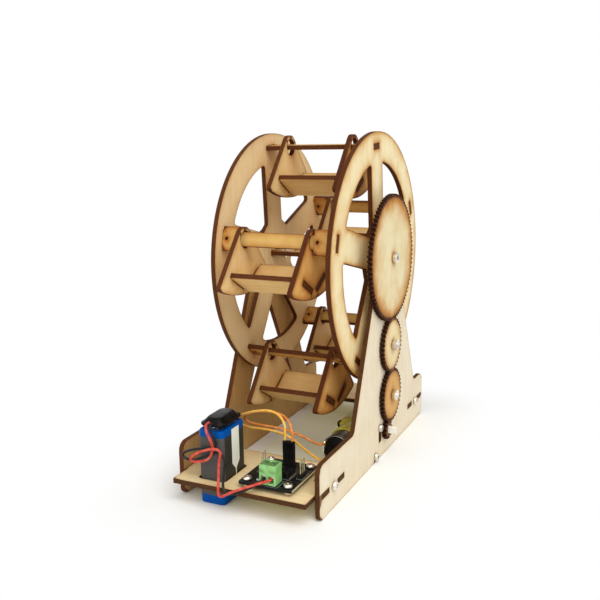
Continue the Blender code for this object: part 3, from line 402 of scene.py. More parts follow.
def studio_sky():
    world = bpy.data.worlds.new("studio")
    world.use_nodes = True
    g = Graph(world.node_tree)
    sky = g.nodes["Background"].inputs
    g.feed(sky["Strength"], g.ease(seen_directly(g), 0, 1, SKY, 1.0))
    g.feed(sky["Color"], WHITE)
    return world


def lamp(name, place, size, power, colour=(1, 1, 1)):
    light = bpy.data.lights.new(name, "AREA")
    light.shape, light.size, light.energy, light.color = "SQUARE", size, power, colour
    made = placed(name, light)
    made.location = place
    made.rotation_euler = (LIT_SPOT - Vector(place)).to_track_quat("-Z", "Y").to_euler()


bpy.context.scene.world = studio_sky()
bpy.context.scene.view_settings.view_transform = "Standard"
lamp("key_lamp", (0.80, -0.67, 1.43), 1.3, 19.0, (1, 0.992, 0.97))
lamp("fill_lamp", (-0.35, -1.5, 0.75), 0.9, 5.0)

# %% [markdown]
# ## Laser cut birch plywood
# A laser burns its way through plywood. The walls of the cut are dark brown, with the glue
# lines between the three layers, and smoke leaves a thin dark line and an amber stain on
# the face beside each cut. So the look of a point depends on how far it is from the nearest
# cut. A material can't know that, but a mesh can tell it: each board's mesh is divided into
# cells of a few millimetres, and each corner stores the distance to the nearest cut edge,
# the place between the two faces, and whether it is on a face or on a wall.

# %% Directions across the boards of a piece
def same_way(a, b):
    """Whether two directions lie along one line."""
    return abs(a.dot(b)) > 0.999


def across_boards(shape, count):
    """Directions through the thickness of the boards in a shape: those with the most face area."""
    areas = {}
    for face in shape.faces:
        normal = face.normal.copy()
        if max(normal, key=abs) < 0:
            normal.negate()
        key = tuple(round(c, 2) + 0.0 for c in normal)
        areas[key] = areas.get(key, 0) + face.calc_area()
    return [Vector(k).normalized() for k in sorted(areas, key=areas.get)[-count:]]


def is_board_face(face, directions):
    """Whether a face is the face of a board, and not the wall of a cut."""
    return any(same_way(face.normal, d) for d in directions)


print("up and down lie along one line:", same_way(Vector((0, 0, 1)), Vector((0, 0, -1))))

# %% Divide a board into cells
CELL = 4.0
WELD = 1e-7


def divide(shape, directions, cell):
    """Cuts a shape by planes along each board, a cell apart."""
    cuts = []
    for through in directions:
        along = Vector((1, 0, 0)) if abs(through.x) < 0.5 else Vector((0, 0, 1))
        for line in (along, along.cross(through).normalized()):
            if not any(same_way(line, c) for c in cuts):
                cuts.append(line)
    for line in cuts:
        reach = [v.co.dot(line) for v in shape.verts]
        low, high = min(reach), max(reach)
        count = int((high - low) / cell)
        for i in range(1, count + 1):
            spot = low + (high - low) * (i + 0.11) / (count + 1)
            bmesh.ops.bisect_plane(shape, geom=shape.verts[:] + shape.edges[:] + shape.faces[:],
                                   dist=WELD, plane_co=line * spot, plane_no=line)


print("cells of", CELL, "mm")


# %% Distance to the cut edges
def gaps_to(points, starts, ends, batch=400):
    """Distance of each point to the nearest of some straight lines, in millimetres."""
    span = ends - starts
    length = np.maximum((span ** 2).sum(1), 1e-16)
    out = np.empty(len(points))
    for i in range(0, len(points), batch):
        away = points[i:i + batch, None, :] - starts[None]
        share = np.clip((away * span).sum(2) / length, 0, 1)
        out[i:i + batch] = np.sqrt(((away - share[..., None] * span) ** 2).sum(2).min(1))
    return out * 1000


def store_cuts(shape, mesh, directions, rims):
    """Stores distance to the cut, place in the thickness, and wall or face, at each corner of the mesh."""
    starts, ends = (np.array([r[i] for r in rims]) for i in (0, 1))
    gap = gaps_to(np.array([v.co for v in shape.verts]), starts, ends)
    levels = []
    for d in directions:
        reach = [v.co.dot(d) for f in shape.faces if same_way(f.normal, d) for v in f.verts]
        levels.append((d, min(reach), max(reach)))
    facts = []
    for face in shape.faces:
        wall = not is_board_face(face, directions)
        middle = face.calc_center_median()
        # A wall belongs to the board whose middle it is nearest to, unless it looks the way that board does.
        d, low, high = min(levels, key=lambda row: abs((middle.dot(row[0]) - row[1]) / (row[2] - row[1]) - 0.5)
                           + 9 * (abs(face.normal.dot(row[0])) > 0.4) * wall)
        for corner in face.loops:
            facts.append((gap[corner.vert.index], (corner.vert.co.dot(d) - low) / (high - low), float(wall)))
    cut = mesh.attributes.new("cut", "FLOAT_VECTOR", "CORNER")
    cut.data.foreach_set("vector", np.array(facts, np.float32).ravel())


corner, start, end = (np.array([p]) * MM for p in ((3, 0, 5), (0, 0, 0), (0, 0, 9)))
print("a corner 3 mm beside a cut has a gap of", round(gaps_to(corner, start, end)[0], 3), "mm")

# %% [markdown]
# Each wooden piece is a copy of its CAD node, so that slots, teeth and holes are exactly
# where they have to be. The copy is merged first, because a loaded node is loose triangles,
# and flat areas are joined before they are divided again.

# %% Put a piece in the scene, and copy a node
def shown(mesh, finish, stands_for=(), body="root", second=None, sharp=30):
    """Puts a finished mesh in the scene as a piece that rides on a body."""
    for one in filter(None, (finish, second)):
        mesh.materials.append(one)
    mesh.polygons.foreach_set("use_smooth", [True] * len(mesh.polygons))
    mesh.set_sharp_from_angle(angle=math.radians(sharp))
    piece = placed(mesh.name, mesh)
    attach(piece, body)
    if stands_for:
        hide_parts(*stands_for)


def merged_copy(node):
    """The shape of a CAD node with its corners joined and its flat areas whole."""
    shape = bmesh.new()
    shape.from_mesh(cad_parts[node].data)
    bmesh.ops.remove_doubles(shape, verts=shape.verts, dist=2e-6)
    bmesh.ops.dissolve_limit(shape, angle_limit=math.radians(0.2), verts=shape.verts, edges=shape.edges,
                             use_dissolve_boundaries=False, delimit=set())
    return shape


gear = merged_copy("main_gear")
print("the main gear's copy has", len(gear.faces), "flat faces, across", *map(tuple, across_boards(gear, 1)))
gear.free()


# %% Make a wooden piece
def ply_piece(node, finish, body="root", boards=1, cell=CELL):
    """A wooden piece from its CAD node, made of one board or of two at an angle."""
    shape = merged_copy(node)
    shape.normal_update()
    directions = across_boards(shape, boards)
    rims = [(tuple(e.verts[0].co), tuple(e.verts[1].co)) for e in shape.edges
            if len(e.link_faces) == 2 and sum(is_board_face(f, directions) for f in e.link_faces) == 1]
    divide(shape, directions, cell * MM)
    shape.normal_update()
    shape.verts.index_update()
    mesh = bpy.data.meshes.new(node + "_ply")
    shape.to_mesh(mesh)
    store_cuts(shape, mesh, directions, rims)
    print(node, "faces", len(shape.faces), "rim lines", len(rims))
    shape.free()
    shown(mesh, finish, [node], body, sharp=25)


print("wooden gears to make:", [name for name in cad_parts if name.endswith(("_gear", "_pinion"))])

# %% [markdown]
# ## The look of the wood
# One node group holds what all the boards share. The face has soft streaks of grain, faint
# clouds and fine pores. Near a cut, an amber stain fades out unevenly, a brown one lies
# inside it, and a thin dark line runs along the edge itself. A wall shows its layers and
# the fine scars of the beam. Each board then places the group with its own colours and
# amounts, because the gears were toasted far more than the side panels were.

# %% Node group for laser cut birch
def laser_cut_birch():
    g, given, out = group("laser_cut_birch", Place=(0, 0, 0), Grain=(0, 0, 0), Cut=(0, 0, 0),
                          Pale=tone(236, 220, 184), Streak=tone(220, 196, 152), Amber=tone(216, 168, 96),
                          Brown=tone(160, 104, 50), Burnt=tone(96, 54, 28), Edge=tone(104, 62, 36),
                          Reach=2.0, Amount=0.6, Line=0.25)
    place, grain = given["Place"], given["Grain"]
    gap, level, wall = g.parts(given["Cut"])
    streaks = g.ease(g.grainy(grain, 0.42, detail=5), 0.34, 0.70)
    bands = g.grainy(grain, 0.10, detail=2, shift=(7, 3, 5))
    clouds = g.grainy(place, 0.05, shift=(2, 6, 1))
    pores = g.ease(g.grainy(grain, 3.2, detail=2, shift=(1, 9, 4)), 0.60, 0.72)
    figure = g.plus(g.times(streaks, g.times(bands, 0.8)), g.ease(clouds, 0.35, 0.7, 0.0, 0.45))
    wood = g.mixed(figure, given["Pale"], given["Streak"])
    wood = g.mixed(g.times(pores, 0.14), wood, tone(150, 106, 62))
    blotch = g.grainy(place, 0.07, detail=2)
    fine = g.grainy(place, 0.9, shift=(3, 1, 8))
    away = g.math("DIVIDE", gap, g.times(given["Reach"], g.ease(blotch, 0.3, 0.7, 0.6, 1.4)))

    def stain(fall, amount):
        """A stain that is strongest at the cut and fades out over the reach."""
        fading = g.times(g.math("EXPONENT", g.times(away, -fall)), given["Amount"])
        return g.math("MULTIPLY", fading, g.ease(fine, 0.25, 0.75, amount * 0.9, amount * 1.1), clamp=True)

    toasted = g.mixed(stain(1.2, 1.0), wood, given["Amber"])
    toasted = g.mixed(stain(4.0, 0.8), toasted, given["Brown"])
    wide = g.times(given["Line"], g.ease(fine, 0.3, 0.7, 0.7, 1.4))
    scorch = g.less(1.0, g.ease(g.math("DIVIDE", gap, wide), 0.2, 1.3))
    face = g.mixed(g.times(scorch, 0.85), toasted, given["Burnt"])
    glue = g.plus(*(g.less(1.0, g.ease(g.apart(level, line), 0.01, 0.05)) for line in (0.34, 0.66)))
    scars = g.ease(g.grainy(place, 1.8, detail=2, shift=(5, 5, 5)), 0.3, 0.7, 0.0, 0.8)
    side = g.mixed(scars, given["Edge"], g.mixed(0.22, given["Edge"], given["Brown"]))
    side = g.mixed(g.times(glue, 0.55), side, tone(40, 22, 14))
    roughness = g.plus(g.ease(streaks, 0, 1, 0.56, 0.68), g.times(wall, 0.12))
    height = g.less(g.times(streaks, 0.5), g.times(g.larger(pores, g.times(glue, wall)), 0.8))
    g.feed_all(out, g.mixed(wall, face, side), roughness, height)
    return g.tree


BIRCH = laser_cut_birch()
print("node group", BIRCH.name, "has", len(BIRCH.nodes), "nodes")


# %% The finish of one board
def birch_finish(name, reach, amount, pale, streak, amber, brown=(166, 108, 52), edge=(80, 40, 18),
                 burnt=(84, 44, 22), line=0.25, along="z", calm=None, ends=None):
    """The finish of one board: how far and how strongly it is toasted, its colours, and the way of its grain.

    Calm is a hole that is toasted less: its y, its z and a radius. Ends is how far from the middle of the
    kit a board gets darker: a stronger stain there is painted shade, where the rings shade the shoulders of the bars.
    """
    made, g, place = material(name, specular=0.12)
    cut = g.add("Attribute", {"attribute_name": "cut"}).outputs["Vector"]
    at = g.parts(place)
    if calm:
        round_hole = g.length(*(g.less(at[axis], middle) for axis, middle in zip("YZ", calm)))
        near = g.ease(round_hole, calm[2] * 0.4, calm[2], 3.2, 1.0)
        gap, level, wall = g.parts(cut)
        cut = g.add("CombineXYZ", X=g.times(gap, near), Y=level, Z=wall).outputs[0]
    if ends:
        # Past the ends the stain grows to double: painted shade on the shoulders of the bars, which lie in the shadow
        # of the rings.
        amount = g.ease(g.apart(at["X"], kit_middle.x / MM), ends, ends + 2, amount, amount * 2)
    grain = g.add("Mapping", Vector=place, Scale={"x": (0.06, 1, 1), "z": (1, 1, 0.06)}[along]).outputs[0]
    board = use(g, BIRCH, Place=place, Grain=grain, Cut=cut, Pale=tone(*pale), Streak=tone(*streak),
                Amber=tone(*amber), Brown=tone(*brown), Burnt=tone(*burnt), Edge=tone(*edge), Reach=reach,
                Amount=amount, Line=line)
    g.look(*board, depth=0.12)
    return made


print("each finish gives the group", len(BIRCH.interface.items_tree) - 3, "values")

# %% [markdown]
# ## Panels, shelf and cross board
# The right panel faces the lamps and is the palest piece, with hardly a stain. The left one
# is seen from inside, in the shade, and its tan colour is painted shade. The shelf and the cross board lie flat.

# %% Frame boards
right_panel_wood = birch_finish("right_panel_wood", 1.8, 0.5, (237, 225, 200), (228, 212, 182), (220, 190, 138),
                                (176, 124, 70), edge=(66, 36, 15), line=0.16)
# The left panel's darker, more saturated tan is painted shade.
left_panel_wood = birch_finish("left_panel_wood", 2.4, 0.5, (209, 172, 116), (194, 152, 94), (174, 124, 68))
shelf_wood = birch_finish("shelf_wood", 1.6, 0.5, (240, 218, 170), (224, 196, 142), (208, 164, 104),
                          edge=(62, 38, 22), along="x")
ply_piece("side_panel_right", right_panel_wood)
ply_piece("side_panel_left", left_panel_wood)
ply_piece("front_shelf", shelf_wood)
ply_piece("rear_cross_board", shelf_wood)

# %% [markdown]
# ## Wheel
# The right ring has a strong amber stain beside every cut, the left one is even and tan, a tan that is partly its own
# colour and partly painted shade.
# The five bars between them are golden, with thin dark lines along their edges, and their shoulders are darker as
# painted shade.

# %% Rings, hub board and bars
right_ring_wood = birch_finish("right_ring_wood", 3.8, 1.1, (245, 231, 189), (233, 210, 157), (212, 159, 78),
                               (156, 94, 36), edge=(72, 36, 15), line=0.3)
# The left ring's tan is partly its own colour and partly painted shade.
left_ring_wood = birch_finish("left_ring_wood", 2.6, 0.5, (243, 214, 164), (231, 197, 144), (200, 148, 82),
                              edge=(76, 38, 16))
# Bars and hub board darken past 24 mm from the middle of the kit: painted shade of the rings on their shoulders.
bar_wood = birch_finish("bar_wood", 2.6, 0.85, (220, 185, 114), (206, 164, 90), (180, 120, 53),
                        edge=(78, 38, 15), along="x", ends=24)
ply_piece("wheel_ring_right", right_ring_wood, "wheel")
ply_piece("wheel_ring_left", left_ring_wood, "wheel")
ply_piece("hub_board", bar_wood, "wheel")
for i in range(1, 6):
    ply_piece(f"crossbar_{i}", bar_wood, "wheel", cell=3)

# %% [markdown]
# ## Gears
# The main gear is cream in the middle and brown towards its teeth, the idler is the palest,
# the lower gear is toasted all over, and the pinion on the motor is darkest.

# %% Gear train
axle = (sum(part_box("main_gear"), Vector()) / 2 / MM)[1:]
main_gear_wood = birch_finish("main_gear_wood", 8.0, 1.45, (235, 223, 184), (224, 203, 149), (202, 142, 62),
                              (132, 74, 30), edge=(44, 22, 10), burnt=(62, 33, 15), line=0.8, calm=(*axle, 20))
idler_wood = birch_finish("idler_wood", 3.6, 1.1, (244, 228, 182), (230, 210, 158), (198, 150, 84),
                          (140, 88, 42), edge=(44, 22, 10), line=0.4)
lower_wood = birch_finish("lower_gear_wood", 4.0, 1.15, (224, 180, 112), (208, 162, 94), (182, 124, 60),
                          (128, 76, 30), edge=(42, 21, 10), line=0.35)
pinion_wood = birch_finish("pinion_wood", 2.0, 0.9, (160, 112, 62), (136, 92, 50), (120, 74, 36),
                           (86, 50, 24), edge=(46, 27, 15), line=0.4)
ply_piece("main_gear", main_gear_wood, "wheel", cell=3.2)
ply_piece("idler_gear", idler_wood, "idler", cell=3)
ply_piece("lower_gear", lower_wood, "lower", cell=3)
ply_piece("motor_pinion", pinion_wood, "pinion", cell=2)

# %% [markdown]
# ## Gondolas
# Each is two hangers, shaped like a drop, and a seat of two boards in a V between them.
# They turn on their own bodies, because a real gondola stays upright as the wheel goes.

# %% Hangers and seats
hanger_wood = birch_finish("hanger_wood", 3.0, 0.75, (240, 210, 154), (226, 192, 132), (198, 148, 84),
                           edge=(78, 38, 15))
# The right hangers' deeper brown stain is partly real toast and partly painted shade of the ring.
toasted_and_shaded_hanger_wood = birch_finish("toasted_and_shaded_hanger_wood", 4.0, 1.2, (230, 182, 110), (214, 162, 88),
                                   (184, 122, 54), (124, 70, 28), edge=(76, 36, 14), line=0.4)
seat_wood = birch_finish("seat_wood", 2.0, 0.65, (232, 196, 134), (217, 175, 111), (190, 136, 71),
                         edge=(76, 36, 14), along="x")
for i in range(1, 6):
    gondola = f"gondola_{i}"
    ply_piece(f"{gondola}_hanger_right", toasted_and_shaded_hanger_wood, gondola, cell=3)
    ply_piece(f"{gondola}_hanger_left", hanger_wood, gondola, cell=3)
    ply_piece(f"{gondola}_seat", seat_wood, gondola, boards=2)

# %% [markdown]
# ## Screws, bolts and nuts
# They are zinc plated steel. Their shanks, spacers and nuts follow the CAD, and the edges
# are eased here, because it is the eased edge that catches the light. Pan heads get the
# cross recess for the screwdriver, and the hexagons of the axle a shallow socket.

# %% Node group for smudges and fine scratches
def handled_surface():
    g, given, out = group("handled_surface", Place=(0, 0, 0), Smooth=0.25, Dull=0.45, Clean=(0.8, 0.8, 0.8, 1),
                          Soiled=(0.6, 0.6, 0.6, 1))
    place, smooth = given["Place"], given["Smooth"]
    smudge = g.ease(g.grainy(place, 0.22, detail=4), 0.38, 0.66)
    scratch = g.ease(g.grainy(place, 2.4, stretch=(1, 0.08, 1)), 0.55, 0.72)
    specks = g.ease(g.grainy(place, 1.6, detail=2, shift=(4, 4, 9)), 0.62, 0.74)
    share = g.plus(g.times(smudge, 0.7), g.times(scratch, 0.3))
    colour = g.mixed(g.larger(smudge, specks), given["Clean"], given["Soiled"])
    roughness = g.plus(smooth, g.times(share, g.less(given["Dull"], smooth)))
    g.feed_all(out, colour, roughness, g.less(specks, scratch))
    return g.tree


HANDLED = handled_surface()


def handled_finish(name, clean, soiled, smooth, dull, metallic=0.0, specular=0.5):
    """A finish of metal or plastic with smudges, scratches and specks."""
    made, g, place = material(name, metallic=metallic, specular=specular)
    g.look(*use(g, HANDLED, Place=place, Clean=tone(*clean), Soiled=tone(*soiled), Smooth=smooth, Dull=dull),
           depth=0.02, strength=0.4)
    return made


zinc = handled_finish("zinc_plated_steel", (236, 230, 218), (204, 196, 182), 0.2, 0.42, metallic=1.0)
print("node group", HANDLED.name, "has", len(HANDLED.nodes), "nodes")


# %% Ease edges, and make plain shapes
def bevel(shape, edges, width, steps):
    """Rounds those edges of a shape, by a width in millimetres."""
    bmesh.ops.bevel(shape, geom=edges, offset=width * MM, offset_type="OFFSET", segments=steps, profile=0.5,
                    affect="EDGES", material=-1, clamp_overlap=True)
    return shape


def eased(shape, width, steps=2, angle=30):
    """The shape, with every edge rounded that is sharper than an angle."""
    sharp = [e for e in shape.edges if len(e.link_faces) == 2 and e.calc_face_angle() > math.radians(angle)]
    return bevel(shape, sharp, width, steps)


def moved(shape, matrix):
    bmesh.ops.transform(shape, matrix=matrix, verts=shape.verts)
    return shape


def block(low, high):
    """A box between two corners in millimetres, to be shaped further or to carve with."""
    low, high = Vector(low) * MM, Vector(high) * MM
    shape = bmesh.new()
    bmesh.ops.create_cube(shape, size=1)
    bmesh.ops.scale(shape, vec=high - low, verts=shape.verts)
    bmesh.ops.translate(shape, vec=(low + high) / 2, verts=shape.verts)
    return shape


def rod(start, end, radius, tip=None, steps=32):
    """A round bar, or a cone, from one point to another in millimetres."""
    start, end = Vector(start) * MM, Vector(end) * MM
    shape = bmesh.new()
    bmesh.ops.create_cone(shape, cap_ends=True, segments=steps, radius1=radius * MM,
                          radius2=(radius if tip is None else tip) * MM, depth=(end - start).length)
    turned = (end - start).to_track_quat("Z", "Y").to_matrix().to_4x4()
    return moved(shape, Matrix.Translation((start + end) / 2) @ turned)


sample = eased(block((0, 0, 0), (1, 1, 1)), 0.1)
print("a block with eased edges has", len(sample.faces), "faces")
sample.free()


# %% Carve and join
def carved(shape, *cutters):
    """The shape with the cutters taken away, each in turn."""
    for cutter in cutters:
        whole, tool = placed("whole", mesh_from(shape, "whole")), placed("tool", mesh_from(cutter, "tool"))
        cut = whole.modifiers.new("cut", "BOOLEAN")
        cut.object, cut.operation, cut.solver = tool, "DIFFERENCE", "EXACT"
        ready = bpy.data.meshes.new_from_object(whole.evaluated_get(bpy.context.evaluated_depsgraph_get()))
        shape = bmesh.new()
        shape.from_mesh(ready)
        for one in (whole, tool):
            bpy.data.objects.remove(one)
        bpy.data.meshes.remove(ready)
    return shape


def joined(*shapes):
    """Several shapes in one, each free of the others."""
    whole = bmesh.new()
    for shape in shapes:
        whole.from_mesh(mesh_from(shape, "part"))
    return whole


sample = carved(block((0, 0, 0), (3, 3, 3)), rod((1, 1, -1), (1, 1, 4), 0.5, steps=6))
print("a block with a six sided hole has", len(sample.faces), "faces")
sample.free()


# %% Places on a node
def outer_face(node, out):
    """Middle of a node's face that looks that way, in millimetres."""
    low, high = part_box(node)
    middle = (low + high) / 2
    for i in range(3):
        if abs(out[i]) > 0.5:
            middle[i] = (high if out[i] > 0 else low)[i]
    return middle / MM


def box_mm(node):
    """Lowest and highest corner of a node in millimetres."""
    return [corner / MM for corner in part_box(node)]


def rounded(corner):
    """The numbers of a corner with one decimal, to print."""
    return [round(c, 1) for c in corner]


RIGHT, LEFT, UP = Vector((1, 0, 0)), Vector((-1, 0, 0)), Vector((0, 0, 1))
print("middle of the pinion's right face:", rounded(outer_face("motor_pinion", RIGHT)))


# %% Pan head screws
def metal_piece(shape, node, body="root"):
    shown(mesh_from(shape, node + "_metal"), zinc, [node], body)


def pan_screw(node, out, radius, turn):
    """A copy of a screw's node with a cross recess, at the middle of the head's outer face."""
    stand = Matrix.Translation(outer_face(node, out) * MM) @ out.to_track_quat("Z", "Y").to_matrix().to_4x4()
    cutters = [moved(block((-0.32, -radius * 0.56, -1.1), (0.32, radius * 0.56, 1.0)),
                     stand @ Matrix.Rotation(math.radians(quarter + turn), 4, "Z")) for quarter in (0, 90)]
    metal_piece(carved(eased(merged_copy(node), 0.35 if radius > 2.8 else 0.3, steps=3), *cutters), node)


for side, out, turned in (("right", RIGHT, 25), ("left", LEFT, 50)):
    for row in ("front", "rear"):
        pan_screw(f"{row}_screw_{side}", out, 3.0, turned)
for i in range(1, 5):
    pan_screw(f"board_screw_{i}", UP, 2.7, 15 * i)
for ear in ("upper", "lower"):
    pan_screw(f"motor_screw_{ear}", RIGHT, 2.7, 10)

# %% Hexagon bolts of the axle and the gears
for side, out in (("right", RIGHT), ("left", LEFT)):
    node = f"axle_bolt_{side}"
    spot = outer_face(node, out)
    metal_piece(carved(eased(merged_copy(node), 0.25), rod(spot - out * 1.6, spot + out, 1.7, steps=6)), node, "wheel")
for node in ("idler_bolt", "lower_gear_bolt"):
    metal_piece(eased(merged_copy(node), 0.25), node)
print("the axle ends at", rounded(outer_face("axle_bolt_right", RIGHT)), rounded(outer_face("axle_bolt_left", LEFT)))

# %% [markdown]
# ## Motor
# A small geared motor lies along the right panel: a yellow gearbox, a steel motor can, whose
# darker grey is painted shade, with a black end plate inside its rim, an end cap with two blades,
# and a white shaft with two flats that comes out through the panel and carries the pinion.

# %% Finishes of the motor
gearbox_yellow = handled_finish("gearbox_yellow", (190, 178, 60), (164, 150, 48), 0.34, 0.5, specular=0.3)
white_plastic = handled_finish("white_plastic", (244, 240, 230), (226, 220, 206), 0.35, 0.5)
black_plastic = handled_finish("black_plastic", (11, 10, 10), (20, 19, 18), 0.34, 0.5, specular=0.1)
# The can's steel is darker than bare steel: painted shade.
shaded_can_steel = handled_finish("motor_can_steel", (132, 132, 122), (96, 94, 84), 0.3, 0.46, metallic=1.0)
tin = handled_finish("tinned_metal", (226, 214, 186), (170, 152, 118), 0.2, 0.4, metallic=1.0)
print("materials so far:", len(bpy.data.materials))


def two_toned(shape, where):
    """The shape, with the second finish on each face whose middle, in millimetres, passes a test."""
    for face in shape.faces:
        face.material_index = int(where(face.calc_center_median() / MM))
    return shape


def eased_piece(node, name, finish, width, steps=2, cutters=(), body="root", second=None, where=None):
    """A copy of a node with eased edges, recesses if any, and a second finish where a test says so."""
    shape = carved(eased(merged_copy(node), width, steps), *cutters)
    if second:
        two_toned(shape, where)
    shown(mesh_from(shape, name), finish, [node], body, second)


eased_piece("motor_gearbox", "gearbox_shell", gearbox_yellow, 0.5, steps=3)
eased_piece("motor_can", "motor_can_shell", shaded_can_steel, 0.3)
eased_piece("motor_end_cap", "motor_end_boss", black_plastic, 0.1,
            second=tin, where=lambda spot: spot.y < -64.6)
tip = outer_face("motor_output_shaft", RIGHT)
eased_piece("motor_output_shaft", "motor_shaft", white_plastic, 0.2,
            cutters=[rod(tip - RIGHT * 2.5, tip + RIGHT, 0.9)], body="pinion")
print("motor from", rounded(box_mm("motor_end_cap")[0]), "to", rounded(box_mm("motor_gearbox")[1]))

# %% End plate, and solder on the blades
# The motor lies along its own middle line, which starts at the pinion's shaft and rises by
# three degrees. Its distances are counted along that line, to the right of it, and above it.
rise = math.radians(3)
motor_along = Vector((0, -math.cos(rise), math.sin(rise)))
motor_up = Vector((0, math.sin(rise), math.cos(rise)))
motor_pivot = Vector((-11.1, -7.017, 17.55))
BLADE = Vector((-17.15, -67.0, 0))
BLADE_HEIGHTS = (26.5, 15.1)


def beside_motor(along, out=0, up=0):
    """A point by those three distances."""
    return motor_pivot + motor_along * along + RIGHT * out + motor_up * up


def flat_sided_rod(start, end, radius, half):
    """A rod along the motor, pressed flat at both sides, as far from its middle as half says."""
    shape = rod(beside_motor(start), beside_motor(end), radius, steps=64)
    for corner in shape.verts:
        corner.co.x = min(max(corner.co.x, (motor_pivot.x - half) * MM), (motor_pivot.x + half) * MM)
    return shape


def solder_bead(place):
    """A drop of solder, higher than wide."""
    bead = bmesh.new()
    bmesh.ops.create_icosphere(bead, subdivisions=3, radius=1.3 * MM)
    bmesh.ops.scale(bead, vec=(0.85, 1.15, 1.3), verts=bead.verts)
    return moved(bead, Matrix.Translation(place * MM))


end_plate = eased(flat_sided_rod(54.6, 55.7, 8.7, 6.2), 0.25)
shown(mesh_from(end_plate, "motor_end_plate"), black_plastic)
beads = joined(*(solder_bead(BLADE + UP * height) for height in BLADE_HEIGHTS))
print("the two beads have", len(beads.faces), "faces")
shown(mesh_from(beads, "blade_solder"), tin)

# %% [markdown]
# The gearbox grips the can with a collar. A plastic strap holds the two together: it
# crosses the end of the can, runs along its flat sides as two pale arms, passes under the
# collar, and comes out at the inner side as a dark hook that is snapped over a peg.

# %% Collar and peg
PEG_ALONG, PEG_UP = 23, 7
collar = eased(carved(flat_sided_rod(25.4, 43, 11.0, 8.9), flat_sided_rod(24, 44, 10.05, 7.75)), 0.3)
peg = eased(rod(beside_motor(PEG_ALONG, -9.0, PEG_UP), beside_motor(PEG_ALONG, -11.0, PEG_UP), 1.7), 0.3)
print("the collar has", len(collar.faces), "faces and the peg", len(peg.faces))
shown(mesh_from(joined(collar, peg), "gearbox_collar"), gearbox_yellow)


# %% Strap with its hook
def quarter_turn(axis):
    return Matrix.Rotation(math.radians(90), 4, axis)


hook = bmesh.new()
bmesh.ops.create_grid(hook, x_segments=1, y_segments=1, size=0.5 * MM)
bmesh.ops.scale(hook, vec=(3.0, 0.7, 1), verts=hook.verts)
moved(hook, Matrix.Translation(beside_motor(PEG_ALONG, -9.6, 9.6) * MM) @ Matrix.Rotation(-rise, 4, "X")
      @ quarter_turn("Z") @ quarter_turn("X"))
bmesh.ops.spin(hook, geom=hook.verts[:] + hook.edges[:] + hook.faces[:], axis=motor_along, dvec=(0, 0, 0),
               cent=beside_motor(PEG_ALONG, -9.6, PEG_UP) * MM, angle=math.radians(190), steps=20, use_merge=False)
bmesh.ops.recalc_face_normals(hook, faces=hook.faces)

lying = Matrix.Translation(motor_pivot * MM) @ Matrix((RIGHT, motor_along, motor_up)).transposed().to_4x4()
bars = [block((side * 8.1 - 0.35, 41.5, -4.0), (side * 8.1 + 0.35, 57.7, 4.0)) for side in (-1, 1)]
bars.append(block((-7.8, 57.2, -2.1), (7.8, 57.65, 2.1)))
for bar in bars:
    moved(eased(bar, 0.12), lying)
    bmesh.ops.recalc_face_normals(bar, faces=bar.faces)
strap = joined(hook, *bars)
print("strap edges left open:", sum(not e.is_manifold for e in strap.edges))
two_toned(strap, lambda spot: abs(spot.x - motor_pivot.x) > 7.7 and (spot - motor_pivot).dot(motor_along) > 40)
shown(mesh_from(strap, "motor_strap"), black_plastic, second=white_plastic)

# %% [markdown]
# ## Battery and its snap cap
# The block battery stands on the table through an opening in the shelf. Its printed wrap is
# grey, darker on the right side as painted shade, with a blue band at the top and at the bottom,
# and one white stripe that ends in a point on the side. The wrap's marks and words are left off.
# The snap cap on top is soft black plastic with two press studs under it.

# %% Battery wrap
TOP_BAND, FOOT_BAND = 42.35, 5.75
RIGHT_SIDE, STRIPE_MIDDLE = -58.75, -107.0


def wrap_finish():
    """Grey, darker on the right side as painted shade, with a blue band at both ends, and on that side a stripe that
    ends in a point.
    """
    made, g, place = material("battery_wrap", specular=0.06)
    at = g.parts(place)
    height = g.plus(at["Z"], g.times(g.grainy(place, 0.3, detail=1), 0.25))
    blue = g.larger(g.ease(height, TOP_BAND, TOP_BAND + 0.2), g.ease(height, FOOT_BAND, FOOT_BAND + 0.2, 1, 0))
    worn = g.ease(g.grainy(place, 0.6, detail=4), 0.55, 0.75)
    side = g.ease(at["X"], RIGHT_SIDE, RIGHT_SIDE + 0.1)

    def printed(ink_or_shade, rubbed):
        return g.mixed(worn, tone(*ink_or_shade), tone(*rubbed))

    # The right side's grey is darker than the front's: painted shade.
    grey = g.mixed(side, printed((84, 81, 79), (100, 96, 93)), printed((56, 55, 47), (72, 69, 61)))
    colour = g.mixed(blue, grey, printed((0, 76, 154), (2, 92, 174)))
    half = g.add("MapRange", Value=at["Z"], From_Min=19.0, From_Max=23.3, To_Min=0.45, To_Max=4.3).outputs[0]
    inside = g.ease(g.less(half, g.apart(at["Y"], STRIPE_MIDDLE)), -0.08, 0.08)
    high = g.times(g.ease(at["Z"], 12.0, 12.4), g.ease(at["Z"], 45.0, 45.2, 1, 0))
    stripe = g.times(g.times(inside, high), side)
    g.look(g.mixed(stripe, colour, tone(240, 242, 230)), g.ease(worn, 0, 1, 0.3, 0.5), worn, 0.03, 0.4)
    return made


wrap = wrap_finish()
print("the wrap has", len(wrap.node_tree.nodes), "nodes")


# %% Battery case
def upright_edges(shape, wanted=True):
    """The edges of a shape that stand up, or those that lie level."""
    return [e for e in shape.edges if (abs(e.verts[0].co.z - e.verts[1].co.z) > 1e-6) == wanted]


def rounded_block(low, high, corner, rim):
    """A block with round standing corners and softer ends, from millimetres."""
    shape = block(low, high)
    bevel(shape, upright_edges(shape), corner, 6)
    return bevel(shape, upright_edges(shape, False), rim, 3)


